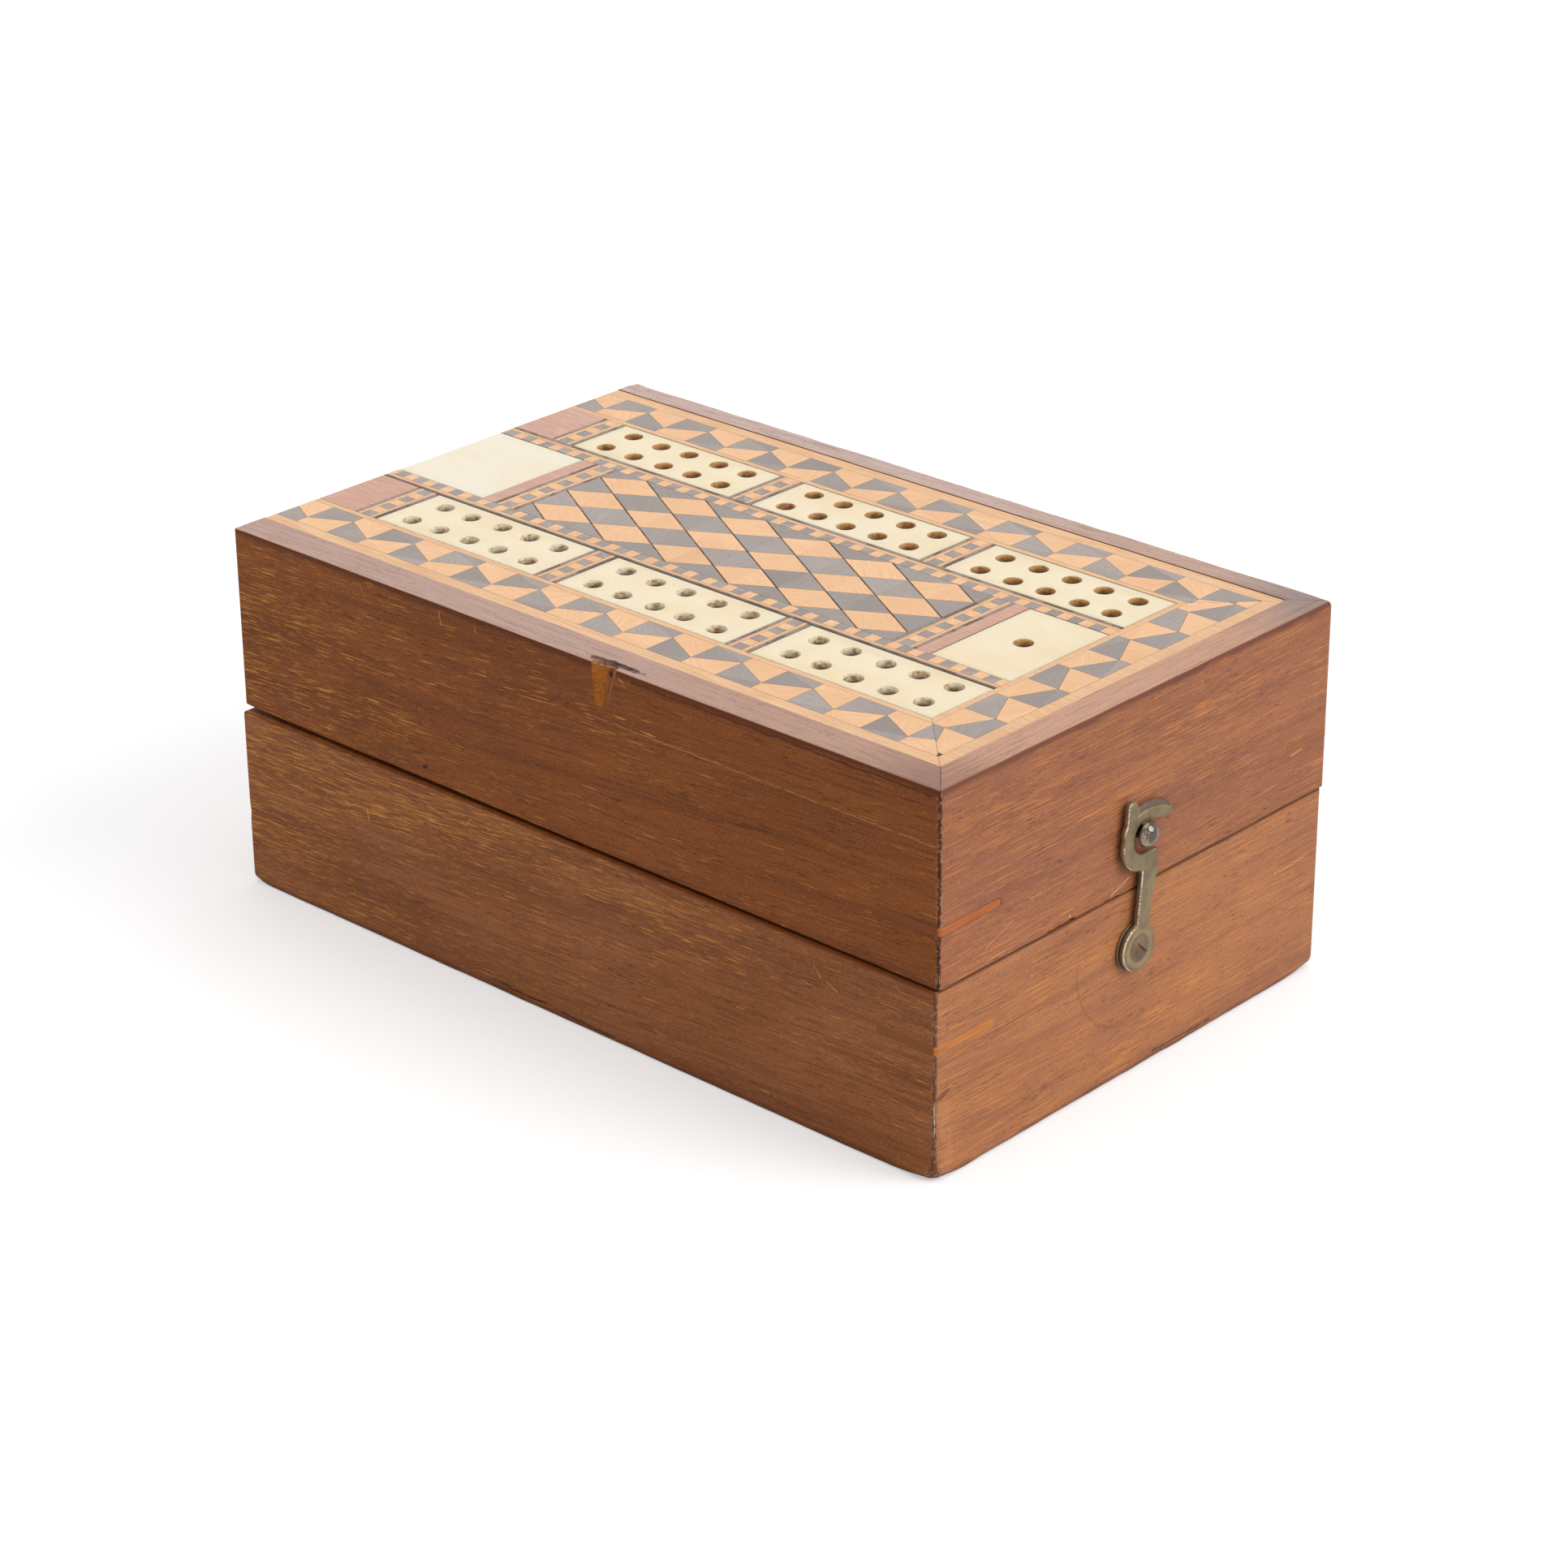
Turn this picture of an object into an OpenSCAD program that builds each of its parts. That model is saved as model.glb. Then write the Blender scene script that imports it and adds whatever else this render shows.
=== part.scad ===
// Folding cribbage board: two inlaid cases, hinged at one short end and hooked at the other.
// Sizes are in millimetres. X runs from the hinge end to the hook end, Y from front to back, Z up.
// The origin is the middle of the closed box's underside.

/* [Case] */
// Outside length of the closed box
box_l = 184; // [165:1:210]
// Outside width of the closed box
box_w = 114; // [108:1:130]
// Height of one case, from its rim to its outer face
half_h = 38.5; // [32:0.5:48]
// Thickness of the end walls, and mean thickness of the long ones
wall_t = 6.9; // [6.4:0.1:8.4]
// How far the board lies towards the back, which leaves the front walls thicker than the back ones
board_shift = 1.1; // [0:0.1:1.2]
// Rounding of the outer edges
edge_r = 1.0; // [0.5:0.1:1.6]
// Gap between the two rims when the box is shut
seam_gap = 0.4; // [0.3:0.1:0.8]
// How far the lid has crept towards the back on its worn hinges
lid_creep = 0.8; // [0:0.1:1.2]

/* [Mitre keys] */
// Length of each key along the outside of the corner
key_l = 14.1; // [9:0.1:16]
// Thickness of the keys
key_t = 1.7; // [1:0.1:2.4]
// Height of the keys from the rim
key_rise = 11.4; // [8:0.1:16]

/* [Board] */
// Thickness of the ground board under the inlay
ground_t = 6.4; // [5.6:0.1:8]
// Thickness of the inlay
inlay_t = 1.6; // [1.2:0.1:2.4]
// How far the inlay lies below the edges of the walls
board_sink = 0.2; // [0.1:0.1:0.4]
// Gap between neighbouring pieces of wood inlay
glue_line = 0.06; // [0.04:0.02:0.2]
// Width of the open joints along one diagonal of the rhombs
crack_w = 0.34; // [0.2:0.02:0.4]
// Gap round the bone plates
bone_gap = 0.26; // [0.2:0.02:0.4]

/* [Border] */
// Width of the light string inside the walls
string_w = 3.2; // [2:0.1:4]
// Width of the band of kites
kite_w = 10.0; // [8:0.1:11]
// Length of one kite along the band
kite_pitch = 8.8; // [7:0.1:11]
// Distance from the hinge end to the first joint between kites
kite_first = 6.0; // [3:0.1:8]
// Lower turn of the zigzag joint, as a part of the band's width
kite_bend = 0.28; // [0.2:0.01:0.36]
// Width of the light fillet between the kites and the lanes
fillet_w = 1.4; // [1:0.1:2]

/* [Lanes] */
// Mean width of the two lanes of bone plates
lane_w = 16.7; // [15.6:0.1:18]
// Bone plates in each lane of one case
lane_plates = 3; // [2:1:4]
// Length of the plain block at the hinge end of each lane
end_block_l = 10.6; // [8:0.1:16]
// Width of the dark lines
dark_w = 0.85; // [0.5:0.05:1]
// Width of the light lines
light_w = 0.9; // [0.7:0.05:1.2]
// Side of the chequer squares
square_w = 2.61; // [2.3:0.01:3]
// Length of the part square that starts the front chequer row
front_lead = 1.4; // [0.6:0.1:2.2]
// Length of the part square that starts the back chequer row
back_lead = 0.7; // [0.6:0.1:2.2]

/* [Peg holes] */
// Diameter of the peg holes
hole_d = 3.9; // [3:0.1:4.4]
// Depth of the peg holes from the face of the plates
hole_depth = 6.8; // [5:0.1:7]
// Holes along each plate
plate_holes = 5; // [3:1:5]
// Distance from the end of a plate to its first hole
hole_inset = 6.0; // [4.5:0.1:7]
// How far the hand drilling wanders
drill_wander = 0.28; // [0:0.02:0.4]

/* [Centre panel] */
// Length of the blank bone plate at the hinge end
blank_plate_l = 24.6; // [18:0.1:28]
// Length of the bone plate with the game hole
game_plate_l = 19.2; // [14:0.1:22]
// How far the game hole lies behind the middle of its plate
game_hole_back = 0.9; // [0:0.1:2]
// Width of the two plain strips
strip_w = 3.4; // [2.5:0.1:4.5]
// How far the centre panel lies towards the back
centre_shift = 0.7; // [0:0.1:1.4]
// Light rhombs along the panel
rhomb_columns = 6; // [4:1:7]
// Light rhombs across the panel
rhomb_rows = 3; // [2:1:4]

/* [Gouge] */
// Place of the gouge along the front of the lid
gouge_x = 11.7; // [-30:0.1:40]
// Width of the gouge at the top edge
gouge_w = 6.0; // [4:0.1:7]
// Depth of the gouge at the top edge
gouge_depth = 1.9; // [1:0.1:2.4]
// Height of the gouge down the wall
gouge_h = 8.7; // [5:0.1:12]

/* [Hook] */
// Place of the pivot across the end
hook_y = -1.4; // [-8:0.1:8]
// Distance of the pivot below the seam
hook_drop = 11.7; // [10:0.1:13]
// Distance from the pivot up to the middle of the throat
hook_reach = 22.4; // [21:0.1:24]
// Thickness of the hook
hook_t = 1.3; // [1:0.1:1.8]
// Radius of the round eye at the pivot
eye_r = 4.7; // [4.2:0.1:5.2]
// Radius of the throat that takes the stud
throat_r = 3.4; // [3:0.1:3.6]
// Width of the metal round the throat
horn_w = 2.3; // [2:0.1:3]
// Width of the arm where it leaves the eye
arm_w = 3.8; // [3.2:0.1:4.4]
// Length of the beak from the middle of the throat
beak_l = 8.2; // [7:0.1:9]
// Radius of the arch along the back of the beak
beak_arch_r = 14; // [13:0.1:15]
// Width of the spur that lifts the hook
spur_w = 2.8; // [2.2:0.1:3.2]
// Thickness of the washer behind the eye
washer_t = 0.5; // [0.3:0.1:0.8]
// Radius of the pivot screw's plain shank
pivot_r = 1.6; // [1.3:0.05:1.9]
// Radius of the pivot screw's head
pivot_head_r = 2.6; // [2.3:0.1:3]
// Height of the pivot screw's head
pivot_head_h = 0.9; // [0.7:0.05:1.2]
// Radius of the stud's neck
stud_r = 1.4; // [1.1:0.05:1.7]
// Radius of the stud's head
stud_head_r = 2.6; // [2.2:0.1:2.9]
// Height of the stud's head
stud_head_h = 1.9; // [1.4:0.1:2.4]
// How far the pivot screw and the stud enter the wall
anchor_l = 5.6; // [4:0.1:6]

/* [Hinges] */
// Length of each hinge along its pin
hinge_w = 30; // [24:0.5:32]
// Radius of the knuckles
knuckle_r = 2.2; // [2:0.05:2.3]
// Radius of the pins
pin_r = 0.9; // [0.7:0.05:1.1]
// Radial clearance of the turning knuckle on its pin
pin_fit = 0.05; // [0.03:0.01:0.08]
// Thickness of the leaves
leaf_t = 1.1; // [0.9:0.05:1.4]
// How far the pin stands outside the end face
pin_out = 0.2; // [0.15:0.05:0.4]
// Radius of the hinge screws
hinge_screw_r = 0.65; // [0.5:0.05:0.8]
// Length of the hinge screws
hinge_screw_l = 9; // [6:0.5:12]
// Radius of the hinge screws' heads
hinge_head_r = 1.5; // [1.2:0.05:1.6]

/* [Screw slots] */
// Width of the slots in the screw heads
slot_w = 0.6; // [0.4:0.05:0.8]
// Depth of the slots in the screw heads
slot_depth = 0.45; // [0.3:0.05:0.6]

/* [View] */
// Node to draw, or all of them

/* [Hidden] */
$fn = 72;

// Colours of the woods, bone and brass
walnut = [0.27, 0.14, 0.09];
oak = [0.45, 0.30, 0.19];
bone = [0.86, 0.80, 0.68];
dark_wood = [0.36, 0.26, 0.20];
light_wood = [0.78, 0.60, 0.44];
red_wood = [0.55, 0.30, 0.24];
brass = [0.55, 0.47, 0.28];

// Thickness of the long walls
front_t = wall_t + board_shift;
back_t = wall_t - board_shift;

// Layout of the board, with x counted from the hinge end and y from the board's middle
panel_x = box_l - wall_t;
panel_y = box_w / 2 - wall_t;
band_x = panel_x - string_w;
band_y = panel_y - string_w;
fillet_x = band_x - kite_w;
fillet_y = band_y - kite_w;
field_x = fillet_x - fillet_w;
lane_y = fillet_y - fillet_w;
rule_y = lane_y - lane_w;
row_y = rule_y - dark_w - light_w;
centre_y = row_y - square_w;
ladder_w = 2 * dark_w + 2 * light_w + square_w;
plate_l = (field_x - end_block_l) / lane_plates - ladder_w;
plate_step = plate_l + ladder_w;
hole_step = (plate_l - 2 * hole_inset) / (plate_holes - 1);
rhomb_x0 = blank_plate_l + strip_w + ladder_w;
rhomb_x1 = field_x - game_plate_l - strip_w - ladder_w;
rhomb_l = (rhomb_x1 - rhomb_x0) / rhomb_columns;
rhomb_h = 2 * centre_y / rhomb_rows;

// Heights within one case, counted from its rim
face_z = half_h - board_sink;
bed_z = face_z - inlay_t;
well_z = bed_z - ground_t;
hole_end_z = face_z - min(hole_depth, inlay_t + ground_t - 0.8);

// Hardware
gouge_r = (gouge_w * gouge_w / 4 + gouge_depth * gouge_depth) / (2 * gouge_depth);
seam_z = half_h + seam_gap / 2;
hook_back = washer_t + 0.05;
hook_face = hook_back + hook_t;
drawn_reach = 22.4;
hook_u = hook_reach / drawn_reach;
throat = hook_u * [1.0, drawn_reach];
stud_at = throat + hook_u * [-0.3, 0.9];
body_at = throat + hook_u * [-0.7, -0.9];
body_r = throat_r + horn_w;
tip_r = 0.75 * hook_u;
beak_end = throat + [beak_l - tip_r, 2.95 * hook_u];
spur_end = throat + hook_u * [-3.85, 6.8];
stud_neck = hook_face + 0.5;
knuckle_gap = 0.3;
leaf_x0 = knuckle_r + knuckle_gap;
leaf_x1 = pin_out + wall_t - 1.2;
screw_x = (leaf_x0 + leaf_x1) / 2;
screw_head_r = min(hinge_head_r, (leaf_x1 - leaf_x0) / 2 - 0.25);
hinge_at = 0.23 * box_w;

// Signed area of a polygon, twice over
function area(p) = let (n = len(p))
    sum([for (i = [0:n - 1]) p[i].x * p[(i + 1) % n].y - p[(i + 1) % n].x * p[i].y]);
function sum(v, i = 0) = i < len(v) ? v[i] + sum(v, i + 1) : 0;
function unit(v) = v / norm(v);
function inward(a, b, turn) = turn * unit([a.y - b.y, b.x - a.x]);

// A convex polygon drawn in by d on every side, or by e on sides that fall from left to right
function pull(a, b, d, e) = (b.x - a.x) * (b.y - a.y) < -0.01 ? e : d;
function meet(m, dm, k, dk) = [dm * k.y - dk * m.y, dk * m.x - dm * k.x] / (m.x * k.y - m.y * k.x);
function shrink(p, d, e) = let (n = len(p), turn = sign(area(p)))
    [for (i = [0:n - 1])
        let (a = p[(i + n - 1) % n], b = p[i], c = p[(i + 1) % n])
        b + meet(inward(a, b, turn), pull(a, b, d, e), inward(b, c, turn), pull(b, c, d, e))];

// The part of a convex polygon on the side of point a that n points away from
function clip(p, a, n) = [for (i = [0:len(p) - 1])
    let (q = p[i], r = p[(i + 1) % len(p)], s = (q - a) * n, t = (r - a) * n)
    each concat(s <= 0 ? [q] : [], (s < 0 && t > 0) || (s > 0 && t < 0) ? [q + (r - q) * s / (s - t)] : [])];
function clip_all(list, a, n) = [for (p = list)
    let (q = clip(p, a, n)) if (len(q) > 2 && abs(area(q)) > 2) q];

function box(x0, y0, x1, y1) = [[x0, y0], [x1, y0], [x1, y1], [x0, y1]];
function flip(p) = [for (q = p) [q.x, -q.y]];
function both(list) = concat(list, [for (p = list) flip(p)]);
function shifted(list) = [for (p = list) [for (q = p) q + [0, centre_shift]]];
function pick(list, odd) = [for (i = [0:len(list) - 1]) if (i % 2 == odd) list[i]];

// Three mitred strips of width w whose outer edges are x and y
function frame_strips(x, y, w) = concat(
    both([[[0, -y], [x, -y], [x - w, w - y], [0, w - y]]]),
    [[[x, -y], [x, y], [x - w, y - w], [x - w, w - y]]]);

// A row of squares from a to b along x, between y0 and y1
function row(a, b, y0, y1) = let (n = max(2, round((b - a) / square_w)), s = (b - a) / n)
    [for (i = [0:n - 1]) box(a + i * s, y0, a + (i + 1) * s, y1)];

// A row of squares all along the board that starts with a part square
function long_row(lead, y0, y1) = let (n = ceil((field_x - lead) / square_w))
    clip_all(clip_all([for (i = [0:n]) box(lead + (i - 1) * square_w, y0, lead + i * square_w, y1)],
    [0, 0], [-1, 0]), [field_x, 0], [1, 0]);
function swap(list) = [for (p = list) [for (q = p) [q.y, q.x]]];

// Kites along a band that starts at u0: the parts above and below the zigzag joint
function bend(k) = k % 2 == 0 ? kite_bend : 1 - kite_bend;
function kites(u0, u1, v0, side) = let (n = ceil((u1 - u0) / kite_pitch))
    [for (k = [-1:n]) let (a = u0 + k * kite_pitch, b = a + kite_pitch, edge = v0 + side * kite_w,
        va = v0 + bend(abs(k)) * kite_w, vb = v0 + bend(abs(k + 1)) * kite_w)
        [[a, va], [b, vb], [b, edge], [a, edge]]];
function long_kites(y0, side) = kites(kite_first, band_x, y0, side);
function end_kites(side) = swap(kites(-fillet_y, band_y, fillet_x, side));

// Kites of one shade, trimmed to the hinge end and to the mitres
function back_band(dark) = clip_all(clip_all(
    concat(pick(long_kites(fillet_y, dark ? 0 : 1), 0), pick(long_kites(fillet_y, dark ? 1 : 0), 1)),
    [0, 0], [-1, 0]), [fillet_x, fillet_y], [1, -1]);
function front_band(dark) = clip_all(clip_all(
    concat(pick(long_kites(-band_y, dark ? 0 : 1), 0), pick(long_kites(-band_y, dark ? 1 : 0), 1)),
    [0, 0], [-1, 0]), [fillet_x, -fillet_y], [1, 1]);
function end_band(dark) = clip_all(clip_all(
    concat(pick(end_kites(dark ? 0 : 1), 0), pick(end_kites(dark ? 1 : 0), 1)),
    [fillet_x, fillet_y], [-1, 1]), [fillet_x, -fillet_y], [-1, -1]);

// The two lanes across the board, and left edges of the ladders in the lanes and in the centre
lanes = [[-lane_y, centre_shift - rule_y], [rule_y + centre_shift, lane_y]];
lane_ladders = [for (i = [0:lane_plates - 1]) end_block_l + i * plate_step];
centre_ladders = [rhomb_x0 - ladder_w, rhomb_x1];
function ladder_bars(x, d, w, y0, y1) = [box(x + d, y0, x + d + w, y1),
    box(x + ladder_w - d - w, y0, x + ladder_w - d, y1)];
function ladder_row(x, y0, y1) =
    swap(row(y0, y1, x + dark_w + light_w, x + dark_w + light_w + square_w));

// Dark or light lines of the whole board
function lines(d, w) = concat(
    shifted(both([box(0, rule_y - d - w, field_x, rule_y - d)])),
    [for (v = lanes, x = lane_ladders) each ladder_bars(x, d, w, v[0], v[1])],
    shifted([for (x = centre_ladders) each ladder_bars(x, d, w, -centre_y, centre_y)]));
function squares(odd) = concat(
    shifted(pick(long_row(front_lead, -row_y, -centre_y), 1 - odd)),
    shifted(pick(long_row(back_lead, centre_y, row_y), 1 - odd)),
    [for (v = lanes, x = lane_ladders) each pick(ladder_row(x, v[0], v[1]), odd)],
    shifted([for (x = centre_ladders) each pick(ladder_row(x, -centre_y, centre_y), odd)]));

// A rhomb about c
function rhomb(c) = [c - [rhomb_l / 2, 0], c - [0, rhomb_h / 2], c + [rhomb_l / 2, 0], c + [0, rhomb_h / 2]];
function in_panel(list) = clip_all(clip_all(clip_all(clip_all(list,
    [rhomb_x0, 0], [-1, 0]), [rhomb_x1, 0], [1, 0]), [0, -centre_y], [0, -1]), [0, centre_y], [0, 1]);
light_rhombs = shifted([for (i = [0:rhomb_columns - 1], j = [0:rhomb_rows - 1])
    rhomb([rhomb_x0 + (i + 0.5) * rhomb_l, (j + 0.5) * rhomb_h - centre_y])]);
dark_rhombs = shifted(in_panel([for (i = [0:rhomb_columns], j = [0:rhomb_rows])
    rhomb([rhomb_x0 + i * rhomb_l, j * rhomb_h - centre_y])]));

// Plates, blocks and holes
plates = [for (v = lanes, x = lane_ladders) box(x + ladder_w, v[0], x + plate_step, v[1])];
game_plate = shifted([box(field_x - game_plate_l, -centre_y, field_x, centre_y)]);
game_hole = [field_x - game_plate_l / 2, centre_shift + game_hole_back];
blank_plates = shifted([box(0, -centre_y, blank_plate_l, centre_y)]);
red_blocks = concat([for (v = lanes) box(0, v[0], end_block_l, v[1])],
    shifted([box(blank_plate_l, -centre_y, blank_plate_l + strip_w, centre_y),
    box(field_x - game_plate_l - strip_w, -centre_y, field_x - game_plate_l, centre_y)]));
lane_holes = [for (v = lanes, x = lane_ladders, h = [0:plate_holes - 1], t = [0.25, 0.75])
    [x + ladder_w + hole_inset + h * hole_step, v[0] + t * (v[1] - v[0])]];
function peg_holes(seed) = let (n = len(lane_holes), d = rands(-drill_wander, drill_wander, 2 * n, seed))
    [for (i = [0:n - 1]) lane_holes[i] + [d[2 * i], d[2 * i + 1]]];

// Places a case, drawn with its rim at z = 0 and its outer face up, as the base or as the lid
module as_base() {
    translate([0, 0, half_h])
        mirror([0, 0, 1])
            children();
}

module as_lid() {
    translate([0, lid_creep, half_h + seam_gap])
        children();
}

// Section of a wall t thick, with its outer face at x = 0 and its outer edge rounded
module wall_section(t) {
    square([t, half_h - edge_r]);
    translate([edge_r, 0])
        square([t - edge_r, half_h]);
    translate([edge_r, half_h - edge_r])
        circle(edge_r);
}

// Plan of the case, with the two corners at the hook end rounded
module case_plan() {
    translate([-box_l / 2, -box_w / 2])
        square([box_l - edge_r, box_w]);
    translate([0, edge_r - box_w / 2])
        square([box_l / 2, box_w - 2 * edge_r]);
    for (s = [-1, 1])
        translate([box_l / 2 - edge_r, s * (box_w / 2 - edge_r)])
            circle(edge_r);
}

// Saw kerf of the mitre key at the front corner of the hook end, next to a long wall t thick
module key_slip(t) {
    leg = min(key_l, wall_t + t - 0.8);
    translate([box_l / 2, -box_w / 2, key_rise - key_t / 2])
        linear_extrude(key_t)
            polygon([[0, 0], [-leg, 0], [0, leg]]);
}

module key_slips() {
    key_slip(front_t);
    mirror([0, 1, 0])
        key_slip(back_t);
}

// A long wall t thick, along the front of the case
module long_wall(t) {
    difference() {
        intersection() {
            translate([-box_l / 2, -box_w / 2, 0])
                rotate([90, 0, 90])
                    linear_extrude(box_l)
                        wall_section(t);
            linear_extrude(half_h)
                case_plan();
            linear_extrude(half_h)
                polygon([[-box_l / 2, -box_w / 2], [box_l / 2, -box_w / 2],
                    [box_l / 2 - wall_t, t - box_w / 2], [-box_l / 2, t - box_w / 2]]);
        }
        key_slip(t);
    }
}

module front_wall() {
    long_wall(front_t);
}

module back_wall() {
    mirror([0, 1, 0])
        long_wall(back_t);
}

module latch_wall() {
    difference() {
        intersection() {
            translate([box_l / 2, -box_w / 2, 0])
                rotate([90, 0, 180])
                    linear_extrude(box_w)
                        wall_section(wall_t);
            linear_extrude(half_h)
                case_plan();
            linear_extrude(half_h)
                polygon([[box_l / 2, -box_w / 2], [box_l / 2, box_w / 2],
                    [box_l / 2 - wall_t, box_w / 2 - back_t], [box_l / 2 - wall_t, front_t - box_w / 2]]);
        }
        key_slips();
    }
}

module hinge_wall() {
    translate([-box_l / 2, board_shift - panel_y, 0])
        cube([wall_t, 2 * panel_y, well_z]);
}

module mitre_keys() {
    intersection() {
        key_slips();
        linear_extrude(half_h)
            case_plan();
    }
}

// Half-round gouge in the top edge of the front wall
module gouge() {
    translate([gouge_x, gouge_depth - gouge_r - box_w / 2, half_h - gouge_h])
        cylinder(h = gouge_h + 0.02, r1 = gouge_r - 0.9 * gouge_depth, r2 = gouge_r);
}

// Moves the board's layout into the case
module on_board(z) {
    translate([-box_l / 2, board_shift, z])
        children();
}

module tiles(list, gap, crack) {
    on_board(bed_z)
        for (p = list)
            linear_extrude(inlay_t)
                polygon(shrink(p, gap / 2, crack / 2));
}

module bone_tiles(list) {
    tiles(list, bone_gap, bone_gap);
}

module wood_tiles(list) {
    tiles(list, glue_line, glue_line);
}

module drill(points) {
    on_board(hole_end_z)
        for (q = points)
            translate([q.x, q.y, 0])
                cylinder(h = half_h, d = hole_d);
}

module ground(seed) {
    difference() {
        on_board(well_z)
            translate([0, -panel_y, 0])
                cube([panel_x, 2 * panel_y, ground_t]);
        drill(concat(peg_holes(seed), [game_hole]));
    }
}

module peg_plates(seed) {
    difference() {
        bone_tiles(plates);
        drill(peg_holes(seed));
    }
}

module one_hole_plate() {
    difference() {
        bone_tiles(game_plate);
        drill([game_hole]);
    }
}

module blank_plate() {
    bone_tiles(blank_plates);
}

module dark_kites() {
    wood_tiles(concat(back_band(true), front_band(true), end_band(true)));
}

module light_kites() {
    wood_tiles(concat(back_band(false), front_band(false), end_band(false)));
}

module light_strings() {
    wood_tiles(concat(frame_strips(panel_x, panel_y, string_w), frame_strips(fillet_x, fillet_y, fillet_w)));
}

// Frame at the hook's pivot: x across the end, y up, z out of the end face
module at_pivot() {
    translate([box_l / 2, hook_y, seam_z - hook_drop])
        rotate([90, 0, 90])
            children();
}

// Screw hole in a wall, cut from the end face inwards
module anchor_hole(r) {
    translate([0, 0, -anchor_l - 0.4])
        cylinder(h = anchor_l + 1, r = r + 0.06);
}

// Slot across a screw head of radius r whose crown is at z
module screw_slot(r, z) {
    rotate([0, 0, -45])
        translate([-r - 1, -slot_w / 2, z - slot_depth])
            cube([2 * r + 2, slot_w, slot_depth + 1]);
}

// A low round head of radius r and height h, standing on z = 0
module round_head(r, h) {
    ball_r = (r * r + h * h) / (2 * h);
    intersection() {
        cylinder(h = h + 0.1, r = r);
        translate([0, 0, h - ball_r])
            sphere(ball_r);
    }
}

// Arm of the hook, from the eye to the shoulder under the throat
module hook_arm() {
    foot = 0.85 * eye_r;
    polygon([[1.1 * hook_u - arm_w / 2, foot], [1.1 * hook_u + arm_w / 2, foot], hook_u * [3.4, 8.5],
        hook_u * [4.4, 12.4], throat + hook_u * [4.1, -6.4], throat + hook_u * [4.05, -4.5],
        throat + hook_u * [2.6, -3.2], throat + hook_u * [-0.5, -3], throat + hook_u * [-3.3, -5.2],
        throat + hook_u * [-0.65, -6.9]]);
    translate(throat + hook_u * [2.65, -4.55])
        circle(1.4 * hook_u);
}

// Beak over the throat, arched along its back
module hook_beak() {
    intersection() {
        translate(throat + [0.6 * hook_u, 5.45 * hook_u - beak_arch_r])
            circle(beak_arch_r);
        polygon([throat + hook_u * [-3.4, 2], throat + hook_u * [2, 2], beak_end + [0, -tip_r],
            beak_end + 0.7 * [tip_r, -tip_r], beak_end + [tip_r, 0.3 * tip_r],
            beak_end + [tip_r, 2 * tip_r], throat + hook_u * [5, 6], throat + hook_u * [-3.4, 6]]);
    }
    translate(beak_end)
        circle(tip_r);
}

// Spur at the back of the throat, which the thumb lifts
module hook_spur() {
    polygon([spur_end + [-spur_w / 2, 0], spur_end + hook_u * [-1.75, -4], spur_end + hook_u * [1, -4.5],
        spur_end + [spur_w / 2, -1.4 * hook_u], spur_end + [spur_w / 2, 0]]);
    translate(spur_end)
        circle(spur_w / 2);
    translate(throat + hook_u * [-3.65, 2])
        circle(2.5 * hook_u);
}

// Outline of the hook
module hook_outline() {
    difference() {
        union() {
            circle(eye_r);
            hook_arm();
            intersection() {
                translate(body_at)
                    circle(body_r);
                translate(throat + [2.6 * hook_u - 3 * body_r, -2 * body_r])
                    square([3 * body_r, 4 * body_r]);
            }
            hook_beak();
            hook_spur();
        }
        circle(pivot_r + 0.06);
        translate(throat)
            circle(throat_r);
        polygon([throat + [0, -throat_r], throat + [2 * beak_l, 0.25 * hook_u - throat_r],
            throat + [2 * beak_l, 2.1 * hook_u], beak_end + [0, -tip_r], throat + hook_u * [5.2, 2.25],
            throat + hook_u * [2.9, 2.65], throat + hook_u * [1.4, 3.2], throat + [0, throat_r]]);
    }
}

// Frame at each hinge's pin: x towards the box, y along the pin
module at_hinges() {
    for (s = [-1, 1])
        translate([-box_l / 2 - pin_out, s * hinge_at, seam_z])
            children();
}

module rod(r, y0, y1) {
    translate([0, y0, 0])
        rotate([-90, 0, 0])
            cylinder(h = y1 - y0, r = r);
}

// The two barrel spans of the base leaf and the middle span of the lid leaf
base_spans = [[-hinge_w / 2, -hinge_w / 6], [hinge_w / 6, hinge_w / 2]];
lid_spans = [[0.12 - hinge_w / 6, hinge_w / 6 - 0.12]];
screw_rows = [-hinge_w / 3, 0, hinge_w / 3];

// A hinge leaf lying above the pin, with the barrels given in spans
module leaf(spans, fit) {
    difference() {
        union() {
            translate([leaf_x0, -hinge_w / 2, seam_gap / 2])
                cube([leaf_x1 - leaf_x0, hinge_w, leaf_t]);
            for (s = spans) {
                rod(knuckle_r, s[0], s[1]);
                translate([0, s[0], seam_gap / 2])
                    cube([leaf_x0 + 0.5, s[1] - s[0], leaf_t]);
            }
        }
        rod(pin_r + fit, -hinge_w, hinge_w);
        for (y = screw_rows)
            translate([screw_x, y, seam_gap / 2])
                countersunk(0.06);
    }
}

// A countersunk screw's outline with its face at z = 0, grown by g all round
module countersunk(g) {
    cylinder(h = screw_head_r - hinge_screw_r, r1 = screw_head_r + g, r2 = hinge_screw_r + g);
    cylinder(h = hinge_screw_l, r = hinge_screw_r + g);
}

module leaf_screws() {
    for (y = screw_rows)
        translate([screw_x, y, seam_gap / 2])
            difference() {
                countersunk(0);
                translate([-2 * hinge_head_r, -slot_w / 2, -1])
                    cube([4 * hinge_head_r, slot_w, slot_depth + 1]);
            }
}

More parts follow.
